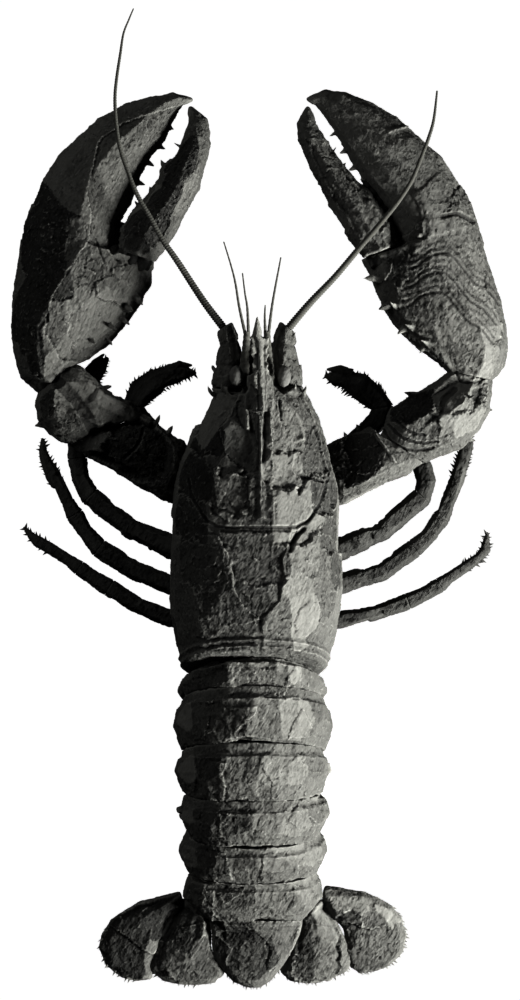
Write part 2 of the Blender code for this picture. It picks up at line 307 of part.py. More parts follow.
# Walking legs, as x, y, z, half width and half height, from the breast plate to the tip, and the
# stations at which the middle piece starts and ends.
LEG_JOINTS = (3, 5)
LEGS = {
    "leg_1_left": [
        (-24.4, 25.0, 6.4, 4.0, 3.8), (-35.0, 37.0, 6.4, 4.2, 3.8), (-42.0, 46.0, 6.2, 4.0, 3.8),
        (-47.5, 52.5, 6.0, 4.4, 4.0), (-52.5, 57.5, 5.8, 4.4, 4.0), (-55.0, 62.5, 5.8, 5.0, 4.2),
        (-51.5, 69.0, 6.0, 5.6, 4.6), (-44.5, 74.0, 6.0, 5.6, 4.8), (-37.0, 77.0, 5.8, 4.4, 4.2),
        (-32.0, 77.4, 5.0, 3.0, 3.0), (-26.6, 77.6, 4.0, 0.6, 0.8)],
    "leg_1_right": [
        (24.4, 25.0, 6.4, 4.0, 3.8), (35.5, 37.0, 6.4, 4.2, 3.8), (43.5, 45.0, 6.2, 4.0, 3.8),
        (50.0, 51.0, 6.0, 4.4, 4.0), (55.5, 56.0, 5.8, 4.4, 4.0), (57.6, 62.0, 5.8, 5.0, 4.2),
        (53.0, 67.6, 6.0, 5.6, 4.6), (47.5, 71.4, 6.0, 5.8, 4.8), (41.5, 74.2, 5.8, 4.6, 4.2),
        (36.5, 75.2, 5.0, 3.2, 3.0), (31.4, 76.6, 4.0, 0.6, 0.8)],
    "leg_2_left": [
        (-24.4, -6.0, 11.6, 5.2, 5.0), (-38.0, -0.9, 12.6, 5.3, 5.0), (-56.0, 7.4, 13.0, 4.4, 4.4),
        (-74.5, 22.0, 10.5, 4.5, 4.4), (-78.8, 30.0, 8.6, 4.0, 4.0), (-80.2, 39.0, 6.6, 4.3, 3.8),
        (-80.4, 48.0, 5.6, 3.6, 3.6), (-78.6, 64.0, 5.0, 3.8, 3.4), (-74.5, 74.0, 5.0, 4.0, 3.6),
        (-71.0, 79.5, 4.6, 3.4, 3.0), (-66.4, 84.6, 3.6, 0.6, 0.8)],
    "leg_2_right": [
        (24.4, -6.0, 11.6, 5.2, 5.0), (38.5, -2.2, 12.6, 5.2, 5.0), (57.5, 6.4, 13.0, 4.4, 4.4),
        (75.4, 21.8, 10.5, 4.6, 4.4), (77.4, 29.0, 8.6, 4.1, 4.0), (75.2, 36.4, 6.4, 4.2, 3.8),
        (73.6, 43.0, 5.6, 3.6, 3.6), (73.4, 52.0, 5.0, 3.6, 3.4), (74.0, 59.0, 4.8, 3.6, 3.4),
        (75.6, 64.0, 4.4, 2.8, 2.8), (78.0, 68.5, 3.4, 0.6, 0.8)],
    "leg_3_left": [
        (-24.4, -21.8, 11.8, 4.8, 4.6), (-38.0, -17.9, 13.0, 4.7, 4.6), (-54.5, -11.4, 14.0, 4.0, 4.0),
        (-70.4, -1.4, 13.4, 4.2, 4.0), (-76.4, 5.8, 12.4, 3.3, 3.3), (-81.4, 13.6, 10.8, 3.9, 3.5),
        (-84.6, 19.6, 9.2, 2.8, 2.8), (-91.2, 31.4, 6.0, 2.9, 2.6), (-94.6, 38.4, 3.6, 2.3, 2.1),
        (-95.8, 42.6, 2.6, 1.8, 1.6), (-96.0, 48.2, 1.5, 0.6, 0.7)],
    "leg_3_right": [
        (24.4, -21.8, 11.8, 4.8, 4.6), (38.5, -17.8, 13.0, 4.5, 4.6), (57.5, -11.6, 14.0, 4.0, 4.0),
        (72.0, -1.4, 13.4, 4.1, 4.0), (78.6, 4.2, 12.4, 3.4, 3.3), (84.0, 12.2, 10.8, 4.0, 3.5),
        (86.6, 18.0, 9.2, 3.0, 2.8), (91.2, 30.0, 6.2, 3.4, 2.8), (94.6, 41.0, 4.6, 3.0, 2.4),
        (96.4, 46.0, 3.6, 2.0, 1.8), (96.6, 52.0, 2.2, 0.5, 0.7)],
    "leg_4_left": [
        (-24.4, -35.0, 11.6, 4.0, 4.2), (-38.0, -33.4, 12.6, 3.9, 4.0), (-53.0, -27.4, 13.6, 3.4, 3.6),
        (-65.8, -19.2, 13.0, 3.8, 3.6), (-72.2, -15.2, 12.0, 3.1, 3.0), (-79.4, -10.4, 10.4, 3.3, 3.1),
        (-84.0, -7.2, 9.0, 2.3, 2.5), (-93.0, -1.6, 5.4, 2.3, 2.3), (-98.4, 1.8, 3.2, 2.1, 1.9),
        (-100.8, 3.8, 2.4, 1.5, 1.4), (-104.6, 8.0, 1.4, 0.5, 0.7)],
    "leg_4_right": [
        (24.4, -35.0, 11.6, 4.0, 4.2), (38.0, -33.8, 12.6, 3.8, 4.0), (54.5, -30.8, 13.6, 3.2, 3.6),
        (69.0, -25.4, 13.0, 3.6, 3.6), (76.4, -22.0, 12.0, 2.9, 3.0), (83.4, -18.2, 10.4, 3.3, 3.1),
        (87.6, -15.0, 9.0, 2.4, 2.5), (95.0, -9.8, 5.4, 2.4, 2.3), (101.2, -5.8, 3.2, 2.3, 1.9),
        (104.2, -2.4, 2.4, 2.0, 1.4), (105.2, 5.6, 1.4, 0.6, 0.7)],
}
# Small second fingers of the fringed hands, as stations, and the spines along the hands.
HAND_THUMBS = {
    "leg_1_left_lower": [
        (-40.0, 81.4, -38.0, 77.4, 3.0, 9.0, 0.5), (-34.4, 83.0, -33.2, 79.8, 3.4, 8.0, 0.5),
        (-28.4, 81.4, -28.6, 80.6, 4.4, 5.6, 0.5)],
    "leg_1_right_lower": [
        (44.6, 79.4, 43.0, 75.4, 3.0, 9.0, 0.5), (38.4, 81.0, 37.6, 77.8, 3.4, 8.0, 0.5),
        (32.4, 79.6, 32.6, 78.8, 4.4, 5.6, 0.5)],
    "leg_2_left_lower": [
        (-76.8, 79.4, -74.0, 77.4, 2.6, 7.4, 0.5), (-72.8, 83.6, -70.6, 82.2, 3.0, 6.6, 0.5),
        (-68.6, 86.4, -68.0, 85.8, 3.4, 4.8, 0.5)],
}
HAND_SPINE = (1.1, 2.4)     # radius and length
HAND_SPINE_STATIONS = (6, 7, 8)

MAXILLIPEDS = {
    "maxilliped_left": [
        (-6.4, 50.6, 10.5, 4.4, 4.6), (-6.6, 58.0, 10.5, 4.8, 5.0), (-6.2, 66.0, 11.0, 4.0, 4.4),
        (-5.6, 74.0, 12.0, 3.2, 3.4), (-4.8, 81.0, 13.5, 1.2, 1.4)],
    "maxilliped_right": [
        (6.4, 50.6, 10.5, 4.4, 4.6), (6.6, 58.0, 10.5, 4.8, 5.0), (6.2, 66.0, 11.0, 4.0, 4.4),
        (5.6, 74.0, 12.0, 3.2, 3.4), (4.8, 81.0, 13.5, 1.2, 1.4)],
}

STONE_DARK = (0.055, 0.055, 0.05)
STONE_PALE = (0.12, 0.12, 0.11)

# A limb's outline as shares: across from the first edge (its crest moved by the station) and up.
UPPER_HEIGHTS = (0.0, 0.62, 1.0, 0.86, 0.52, 0.0)
LOWER_OUTLINE = ((0.86, -0.8), (0.5, -1.0), (0.14, -0.8))


def empty_scene():
    for old in list(bpy.data.objects):
        bpy.data.objects.remove(old)


def add_collection(name):
    collection = bpy.data.collections.new(name)
    bpy.context.scene.collection.children.link(collection)
    return collection


def stone(name, colour):
    """A dull stone material for one piece."""
    material = bpy.data.materials.new(name)
    material.use_nodes = True
    shader = material.node_tree.nodes["Principled BSDF"]
    shader.inputs["Base Color"].default_value = (*colour, 1.0)
    shader.inputs["Roughness"].default_value = 0.85
    shader.inputs["Metallic"].default_value = 0.0
    return material


def add_piece(name, mesh, colour=STONE_DARK):
    """A named sub-part of the lobster, with its own material."""
    piece = bpy.data.objects.new(name, mesh)
    mesh.materials.clear()
    mesh.materials.append(stone(name + "_stone", colour))
    PARTS.objects.link(piece)
    return piece


def add_cutter(name, mesh):
    """A hidden shape that a Boolean modifier joins to or takes from a piece."""
    cutter = bpy.data.objects.new(name, mesh)
    cutter.hide_render = True
    cutter.display_type = "WIRE"
    CUTTERS.objects.link(cutter)
    return cutter


def boolean(piece, tool, operation):
    modifier = piece.modifiers.new(tool.name, "BOOLEAN")
    modifier.operation = operation
    modifier.object = tool


def hewn(point, centre):
    """Moves a point of a cross-section in or out, so that the form breaks into facets."""
    lift = noise.noise(point / HEWN_WIDTH) * HEWN_DEPTH
    return point + (point - centre).normalized() * lift


def loft_mesh(name, rings, rough=True):
    """One closed solid through rings of equal point count, in millimetres, capped at both ends."""
    mesh_data = bmesh.new()
    rows = []
    for number, ring in enumerate(rings):
        centre = sum(ring, Vector()) / len(ring)
        inner = rough and 0 < number < len(rings) - 1
        points = [hewn(point, centre) if inner and point.z > 1.5 else point for point in ring]
        rows.append([mesh_data.verts.new(point * MM) for point in points])
    for first, second in zip(rows, rows[1:]):
        for i in range(len(first)):
            j = (i + 1) % len(first)
            mesh_data.faces.new((first[i], first[j], second[j], second[i]))
    mesh_data.faces.new(rows[0])
    mesh_data.faces.new(rows[-1])
    bmesh.ops.recalc_face_normals(mesh_data, faces=mesh_data.faces)
    mesh = bpy.data.meshes.new(name)
    mesh_data.to_mesh(mesh)
    mesh_data.free()
    return mesh


def add_loft(piece, name, rings):
    """Joins a plain loft to a piece."""
    boolean(piece, add_cutter(name, loft_mesh(name, rings, rough=False)), "UNION")


def limb_ring(station):
    """The cross-section of a limb, with its crest nearer to one edge."""
    first_x, first_y, second_x, second_y, low, high, crest = station
    first = Vector((first_x, first_y, 0.0))
    second = Vector((second_x, second_y, 0.0))
    middle = (low + high) / 2
    half = (high - low) / 2
    beyond = 1.0 - crest
    across = (0.0, 0.3 * crest, crest, crest + 0.42 * beyond, crest + 0.8 * beyond, 1.0)
    outline = list(zip(across, UPPER_HEIGHTS)) + list(LOWER_OUTLINE)
    return [first.lerp(second, share) + Vector((0.0, 0.0, middle + height * half))
            for share, height in outline]


def pull_end(ring, neighbour):
    """Moves an end ring towards its neighbour by half a gap."""
    step = sum(neighbour, Vector()) / len(neighbour) - sum(ring, Vector()) / len(ring)
    step.z = 0.0
    shift = step.normalized() * (GAP / 2)
    return [point + shift for point in ring]


def add_limb(name, stations, colour=STONE_DARK):
    """A claw, wrist or fin piece through its stations, clear of its neighbours at both ends."""
    rings = [limb_ring(station) for station in stations]
    rings[0] = pull_end(rings[0], rings[1])
    rings[-1] = pull_end(rings[-1], rings[-2])
    return add_piece(name, loft_mesh(name, rings), colour)


def rod_mesh(name, points, bevel_resolution=2):
    """A round rod through points of x, y, z and radius, welded into a closed mesh."""
    curve = bpy.data.curves.new(name, "CURVE")
    curve.dimensions = "3D"
    curve.bevel_depth = MM
    curve.bevel_resolution = bevel_resolution
    curve.use_fill_caps = True
    spline = curve.splines.new("POLY")
    spline.points.add(len(points) - 1)
    for target, (x, y, z, radius) in zip(spline.points, points):
        target.co = (x * MM, y * MM, z * MM, 1.0)
        target.radius = radius
    holder = bpy.data.objects.new(name, curve)
    bpy.context.scene.collection.objects.link(holder)
    evaluated = holder.evaluated_get(bpy.context.evaluated_depsgraph_get())
    mesh = bpy.data.meshes.new_from_object(evaluated)
    bpy.data.objects.remove(holder)
    weld(mesh)
    return mesh


def weld(mesh):
    mesh_data = bmesh.new()
    mesh_data.from_mesh(mesh)
    bmesh.ops.remove_doubles(mesh_data, verts=mesh_data.verts, dist=0.00002)
    bmesh.ops.recalc_face_normals(mesh_data, faces=mesh_data.faces)
    mesh_data.to_mesh(mesh)
    mesh_data.free()


def cones_mesh(name, spines, sides=6):
    """Separate spines in one mesh, each a cone from its foot to its tip."""
    mesh_data = bmesh.new()
    for foot, tip, radius in spines:
        foot = Vector(foot) * MM
        reach = Vector(tip) * MM - foot
        turn = reach.to_track_quat("Z", "Y").to_matrix().to_4x4()
        place = Matrix.Translation(foot + reach * 0.25) @ turn
        bmesh.ops.create_cone(mesh_data, cap_ends=True, segments=sides, radius1=radius * MM,
                              radius2=0.0, depth=reach.length * 1.5, matrix=place)
    mesh = bpy.data.meshes.new(name)
    mesh_data.to_mesh(mesh)
    mesh_data.free()
    return mesh


def add_spines(piece, spines, sides=6):
    name = piece.name + "_spines"
    boolean(piece, add_cutter(name, cones_mesh(name, spines, sides)), "UNION")


# ---------------------------------------------------------------- carapace

def carapace_row(y):
    """Left edge, right edge and crest height of the shield at a place along its crest."""
    rows = CARAPACE_ROWS
    for front, back in zip(rows, rows[1:]):
        if y >= back[0] or back is rows[-1]:
            share = (front[0] - y) / (front[0] - back[0])
            return [a + (b - a) * share for a, b in zip(front[2:], back[2:])]
    return list(rows[-1][2:])


def carapace_height(x, y):
    """Height of the shield's back above a plan point."""
    left, right, top = carapace_row(y)
    share = min(abs(x - (left + right) / 2) / ((right - left) / 2), 0.999)
    rise = (1.0 - share ** DOME_POWER) ** (1.0 / DOME_POWER)
    return CARAPACE_FLANK + (top - CARAPACE_FLANK) * rise


def arch(left, right, top, flank, angles):
    """Points of x and z over a half barrel, from the right flank to the left one."""
    centre = (left + right) / 2
    half = (right - left) / 2
    power = 2.0 / DOME_POWER
    points = []
    for angle in angles:
        cosine = math.cos(angle)
        across = math.copysign(abs(cosine) ** power, cosine)
        points.append((centre + half * across, flank + (top - flank) * abs(math.sin(angle)) ** power))
    return points


def carapace_rings(grow=0.0):
    """Rings of the shield, grown outwards on all sides by the given amount."""
    angles = [math.radians(angle) for angle in CARAPACE_ANGLES]
    rings = []
    last = len(CARAPACE_ROWS) - 1
    for number, (crest_y, flank_y, left, right, top) in enumerate(CARAPACE_ROWS):
        end_shift = grow if number == 0 else -grow if number == last else 0.0
        points = arch(left - grow, right + grow, top + grow, CARAPACE_FLANK, angles)
        centre = (left + right) / 2
        hem = (right - left) / 2 * CARAPACE_HEM_SHARE + grow
        points += [(centre - hem, CARAPACE_HEM - grow), (centre + hem, CARAPACE_HEM - grow)]
        ring = []
        for x, z in points:
            share = (z - CARAPACE_FLANK) / (top - CARAPACE_FLANK)
            ring.append(Vector((x, flank_y + (crest_y - flank_y) * share + end_shift, z)))
        rings.append(ring)
    return rings


def ridge_rings(points, rise):
    """Rings of a low ridge that follows the back, wider at its foot."""
    rings = []
    for x, y, half in points:
        z = carapace_height(x, min(y, CARAPACE_ROWS[0][0]))
        rings.append([Vector((x - half, y, z - 1.2)), Vector((x + half, y, z - 1.2)),
                      Vector((x + 0.45 * half, y, z + rise)), Vector((x - 0.45 * half, y, z + rise))])
    return rings


def rostrum_rings():
    rings = []
    for x, y, half, top in ROSTRUM:
        depth = ROSTRUM_DEPTH * min(half / 3.0, 1.0)
        rings.append([Vector((x - half, y, top - 0.45 * depth)), Vector((x - 0.6 * half, y, top - depth)),
                      Vector((x + 0.6 * half, y, top - depth)), Vector((x + half, y, top - 0.45 * depth)),
                      Vector((x + 0.3 * half, y, top)), Vector((x - 0.3 * half, y, top))])
    return rings


def rostrum_teeth():
    """Teeth that point forwards and outwards along both sides of the rostrum."""
    radius, length = ROSTRUM_TOOTH
    teeth = []
    for y in ROSTRUM_TEETH_Y:
        near = min(ROSTRUM, key=lambda row: abs(row[1] - y))
        for side in (-1, 1):
            foot = (near[0] + side * 0.75 * near[2], y, near[3] - 0.45 * ROSTRUM_DEPTH + 1.0)
            tip = (foot[0] + side * 0.45 * length, y + 0.8 * length, foot[2] + 0.6)
            teeth.append((foot, tip, radius))
    return teeth


def groove_path(points, lift):
    """A rod's points on the back, over a list of plan points."""
    return [(x, y, carapace_height(x, y) + lift) for x, y in points]


def flake_cutter(name, outline):
    """What is split off inside an outline: a prism with the shield, one bed thinner, taken away."""
    mesh_data = bmesh.new()
    low = [mesh_data.verts.new((x * MM, y * MM, CARAPACE_FLANK * MM)) for x, y in outline]
    face = mesh_data.faces.new(low)
    top = bmesh.ops.extrude_face_region(mesh_data, geom=[face])["geom"]
    bmesh.ops.translate(mesh_data, vec=(0.0, 0.0, 40.0 * MM),
                        verts=[item for item in top if isinstance(item, bmesh.types.BMVert)])
    bmesh.ops.recalc_face_normals(mesh_data, faces=mesh_data.faces)
    mesh = bpy.data.meshes.new(name)
    mesh_data.to_mesh(mesh)
    mesh_data.free()
    return add_cutter(name, mesh)


def add_carapace():
    carapace = add_piece("carapace", loft_mesh("carapace", carapace_rings()))
    bed_below = add_cutter("carapace_bed_below", loft_mesh("carapace_bed_below", carapace_rings(-BED)))
    for number, outline in enumerate(FLAKES):
        flake = flake_cutter("carapace_flake_%d" % number, outline)
        boolean(flake, bed_below, "DIFFERENCE")
        boolean(carapace, flake, "DIFFERENCE")
    ridges = (("mid_ridge", MID_RIDGE), ("left_ridge", LEFT_RIDGE), ("right_ridge", RIGHT_RIDGE))
    for name, ridge in ridges:
        add_loft(carapace, name, ridge_rings(ridge, RIDGE_RISE))
    add_loft(carapace, "rostrum", rostrum_rings())
    groove = [(x, y, z, GROOVE_RADIUS) for x, y, z in groove_path(CERVICAL_GROOVE, GROOVE_LIFT)]
    boolean(carapace, add_cutter("cervical_groove", rod_mesh("cervical_groove", groove, 1)), "DIFFERENCE")
    for number, points in enumerate(SIDE_GROOVES):
        name = "side_groove_%d" % number
        path = [(x, y, z, SIDE_GROOVE_RADIUS) for x, y, z in groove_path(points, 0.4)]
        boolean(carapace, add_cutter(name, rod_mesh(name, path, 1)), "DIFFERENCE")
    for name, (x, y, z) in EYES.items():
        mesh_data = bmesh.new()
        size = Matrix.Diagonal((*EYE_SOCKET, 1.0))
        bmesh.ops.create_uvsphere(mesh_data, u_segments=10, v_segments=6, radius=MM,
                                  matrix=Matrix.Translation(Vector((x, y, z)) * MM) @ size)
        mesh = bpy.data.meshes.new(name + "_socket")
        mesh_data.to_mesh(mesh)
        mesh_data.free()
        boolean(carapace, add_cutter(name + "_socket", mesh), "DIFFERENCE")
    add_spines(carapace, CARAPACE_SPINES + rostrum_teeth())
    return carapace


def add_eyes():
    for name, centre in EYES.items():
        mesh_data = bmesh.new()
        size = Matrix.Diagonal((*EYE_SIZE, 1.0))
        bmesh.ops.create_uvsphere(mesh_data, u_segments=10, v_segments=6, radius=MM,
                                  matrix=Matrix.Translation(Vector(centre) * MM) @ size)
        mesh = bpy.data.meshes.new(name)
        mesh_data.to_mesh(mesh)
        mesh_data.free()
        add_piece(name, mesh, STONE_PALE)


def add_sternum():
    rings = []
    for y, top_half, bottom_half in STERNUM_ROWS:
        rings.append([Vector((-top_half, y, STERNUM_TOP)), Vector((-top_half, y, STERNUM_SHOULDER)),
                      Vector((-bottom_half, y, 0.0)), Vector((bottom_half, y, 0.0)),
                      Vector((top_half, y, STERNUM_SHOULDER)), Vector((top_half, y, STERNUM_TOP))])
    add_piece("sternum", loft_mesh("sternum", rings, rough=False), STONE_PALE)


# ---------------------------------------------------------------- feelers

def add_antenna_bases():
    for name, joints in PEDUNCLES.items():
        rings = []
        for x, y, radius, turn in joints:
            reach_x = radius * math.cos(math.radians(turn))
            reach_y = radius * math.sin(math.radians(turn))
            rings.append(limb_ring((x - reach_x, y - reach_y, x + reach_x, y + reach_y,
                                    PEDUNCLE_Z - radius, PEDUNCLE_Z + radius, 0.5)))
        base = add_piece(name, loft_mesh(name, rings), STONE_PALE)
        blade = []
        for x, y, half in SCALES[name]:
            thick = SCALE_THICKNESS * min(half / 2.0, 1.0) / 2
            low, high = PEDUNCLE_Z - thick, PEDUNCLE_Z + thick
            blade.append(limb_ring((x - half, y, x + half, y, low, high, 0.5)))
        add_loft(base, name + "_scale", blade)
        add_spines(base, SCALE_SPINES[name])


def add_antennae():
    for name, points in ANTENNAE.items():
        add_piece(name, rod_mesh(name, points, 1))


def add_antennules():
    for name, (stalk, outer, inner) in ANTENNULES.items():
        piece = add_piece(name, rod_mesh(name, stalk))
        for part, points in (("outer", outer), ("inner", inner)):
            whip = name + "_" + part
            boolean(piece, add_cutter(whip, rod_mesh(whip, points, 1)), "UNION")


# ---------------------------------------------------------------- tail

def tail_ring(front, back, widest, share, size):
    """One ring of a segment: rims are tilted planes, and the ring stands between two of them."""
    crest_y = front[0] + (back[0] - front[0]) * share
    flank_y = front[1] + (back[1] - front[1]) * share
    crest = front[4] + (back[4] - front[4]) * share
    top = crest * size
    bulge = 1.0 - abs(share - TAIL_WIDEST_SHARE)
    left = ((front[2] + (back[2] - front[2]) * share) * (1 - bulge) + widest[0] * bulge) * size
    right = ((front[3] + (back[3] - front[3]) * share) * (1 - bulge) + widest[1] * bulge) * size
    angles = [math.radians(angle) for angle in (0, 20, 38, 56, 73, 90, 107, 124, 142, 160, 180)]
    points = arch(left, right, top, TAIL_FLANK, angles)
    centre = (left + right) / 2
    half = (right - left) / 2
    channel = min(TAIL_CHANNEL, 0.3 * top)
    underside = [(0.93, TAIL_HEM), (0.74, TAIL_HEM), (0.55, channel)]
    points += [(centre - across * half, z) for across, z in underside]
    points += [(centre + across * half, z) for across, z in reversed(underside)]
    ring = []
    for x, z in points:
        lean = (z - TAIL_FLANK) / (crest - TAIL_FLANK)
        ring.append(Vector((x, flank_y + (crest_y - flank_y) * lean, z)))
    return ring


def add_tail():
    for number, (front, back, widest) in enumerate(zip(TAIL_RIMS, TAIL_RIMS[1:], TAIL_WIDEST)):
        name = "tail_segment_%d" % (number + 1)
        rings = [tail_ring(front, back, widest, share, size) for share, size in TAIL_PROFILE]
        if number == len(TAIL_WIDEST) - 1:
            rings[-1] = tail_ring(back, back, back[2:4], 0.0, 1.0)
        rings[0] = pull_end(rings[0], rings[1])
        rings[-1] = pull_end(rings[-1], rings[-2])
        add_piece(name, loft_mesh(name, rings))


def add_tail_fan():
    add_limb("telson", TELSON)
    for name, stations in UROPODS.items():
        add_limb(name, stations)


# ---------------------------------------------------------------- claws and legs

def add_claws(clearance):
    groups = ((PALMS, STONE_DARK), (FINGERS, STONE_DARK), (WRISTS, STONE_PALE), (ARMS, STONE_DARK),
              (CLAW_JOINTS, STONE_PALE))
    for group, colour in groups:
        for name, stations in group.items():
            piece = add_limb(name, stations, colour)
            if name in HINGE_LIPS:
                add_loft(piece, name + "_lip", [limb_ring(station) for station in HINGE_LIPS[name]])
            if name in CLAW_SPINES:
                add_spines(piece, CLAW_SPINES[name])
            if name in ARMS:
                boolean(piece, clearance, "DIFFERENCE")


def leg_rings(stations):
    """Rings square to the path in plan, so that neighbours share the plane of their joint."""
    rings = []
    for number, (x, y, z, half, thick) in enumerate(stations):
        before = stations[max(number - 1, 0)]
        after = stations[min(number + 1, len(stations) - 1)]
        side = Vector((before[1] - after[1], after[0] - before[0], 0.0)).normalized() * half
        if number == 0:
            side = Vector((0.0, math.copysign(half, side.y), 0.0))
        ring = []
        for step in range(6):
            angle = math.radians(60 * step)
            up = Vector((0, 0, thick * math.sin(angle)))
            ring.append(Vector((x, y, z)) + side * math.cos(angle) + up)
        rings.append(ring)
    return rings


def hand_spines(stations):
    """Spines that stand outwards on both edges of a small hand."""
    radius, length = HAND_SPINE
    spines = []
    for number in HAND_SPINE_STATIONS:
        x, y, z, half, _ = stations[number]
        before, after = stations[number - 1], stations[number + 1]
        ahead = Vector((after[0] - before[0], after[1] - before[1], 0.0)).normalized()
        side = Vector((-ahead.y, ahead.x, 0.0))
        for way in (-1, 1):
            foot = Vector((x, y, z)) + side * way * half * 0.8
            spines.append((foot, foot + (side * way + ahead * 0.6) * length, radius))
    return spines


def add_legs(clearance):
    first, second = LEG_JOINTS
    for leg, stations in LEGS.items():
        rings = leg_rings(stations)
        pieces = (("upper", 0, first), ("middle", first, second), ("lower", second, len(rings) - 1))
        for part, start, end in pieces:
            name = leg + "_" + part
            own = rings[start:end + 1]
            own[0] = pull_end(own[0], own[1])
            own[-1] = pull_end(own[-1], own[-2])
            piece = add_piece(name, loft_mesh(name, own))
            if part == "upper":
                boolean(piece, clearance, "DIFFERENCE")
            if name in HAND_THUMBS:
                add_loft(piece, name + "_thumb", [limb_ring(station) for station in HAND_THUMBS[name]])
                add_spines(piece, hand_spines(stations), sides=5)


def add_maxillipeds():
    for name, stations in MAXILLIPEDS.items():
        rings = []
        for x, y, z, half, thick in stations:
            rings.append([Vector((x + half * math.cos(math.radians(60 * step)), y,
                                  z + thick * math.sin(math.radians(60 * step)))) for step in range(6)])
        add_piece(name, loft_mesh(name, rings), STONE_PALE)


empty_scene()
PARTS = add_collection("fossil_lobster")
CUTTERS = add_collection("cutters")
add_carapace()
shield_clearance = add_cutter("carapace_clearance", loft_mesh("carapace_clearance", carapace_rings(GAP)))
add_eyes()
add_sternum()
add_antenna_bases()
add_antennae()
add_antennules()
add_tail()
add_tail_fan()
add_claws(shield_clearance)
add_legs(shield_clearance)
add_maxillipeds()
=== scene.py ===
import math

import bmesh
import bpy
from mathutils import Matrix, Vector


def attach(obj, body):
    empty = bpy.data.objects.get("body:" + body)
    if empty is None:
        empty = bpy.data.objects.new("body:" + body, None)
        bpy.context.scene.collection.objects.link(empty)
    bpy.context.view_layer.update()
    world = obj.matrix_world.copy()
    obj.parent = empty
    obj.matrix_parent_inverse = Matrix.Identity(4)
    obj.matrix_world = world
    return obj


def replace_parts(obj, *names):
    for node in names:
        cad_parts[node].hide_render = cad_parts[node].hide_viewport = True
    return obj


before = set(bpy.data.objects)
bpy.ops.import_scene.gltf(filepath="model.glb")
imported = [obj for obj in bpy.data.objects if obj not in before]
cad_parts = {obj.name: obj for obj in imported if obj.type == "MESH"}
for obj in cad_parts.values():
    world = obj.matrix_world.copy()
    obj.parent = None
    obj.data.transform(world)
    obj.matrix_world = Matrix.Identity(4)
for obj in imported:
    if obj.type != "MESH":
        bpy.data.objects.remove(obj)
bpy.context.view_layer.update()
MM = 0.001


# ---- Breast plate -----------------------------------------------------------------------------
# The flat plate under the animal that the legs and claws spring from, turned to dark slate like
# the rest. It was split from its bed, so every face is a flake scar with stepped, chipped edges.
# It lies flat on the floor and carries the shield above it.

PLATE_CUT = {"Flake Width": 15 * MM, "Flake Depth": 0.6 * MM, "Warp": 0.5 * MM}


class Wire:
    """One output in a node tree. A sign between it and a number, a vector or another wire lays the
    Math node for it, or the Vector Math node where this wire carries a vector."""

    def __init__(self, tree, socket):
        self.tree = tree
        self.socket = socket
        self.kind = "FLOAT_VECTOR" if socket.type in ("VECTOR", "RGBA") else "FLOAT"

    def __getitem__(self, name):
        """Another output of the same node, by name or number."""
        return Wire(self.tree, self.socket.node.outputs[name])

    def do(self, operation, *others, out=0):
        """The result of one Math or Vector Math node."""
        kind = "Math" if self.kind == "FLOAT" else "VectorMath"
        return self.tree.lay(kind, self, *others, operation=operation)[out]

    def __add__(self, other):
        return self.do("ADD", other)

    def __sub__(self, other):
        return self.do("SUBTRACT", other)

    def __mul__(self, other):
        if self.kind == "FLOAT_VECTOR" and kind_of(other) == "FLOAT":
            return self.do("SCALE", None, None, other)
        return self.do("MULTIPLY", other)

    def __truediv__(self, other):
        return self.do("DIVIDE", other)

    def __rtruediv__(self, number):
        return self.tree.lay("Math", number, self, operation="DIVIDE")

    def dot(self, other):
        """How far one vector reaches along another."""
        return self.do("DOT_PRODUCT", other, out=1)

    def height(self):
        """A vector's Z."""
        return self.tree.lay("SeparateXYZ", self)["Z"]


def kind_of(value):
    """What a node calls the kind of a wire, a number or a vector."""
    if isinstance(value, Wire):
        return value.kind
    return "FLOAT_VECTOR" if isinstance(value, tuple) else "FLOAT"


# A node's type is given without the word that Blender puts before it.
NODE_PREFIXES = ("GeometryNode", "ShaderNode", "FunctionNode", "")


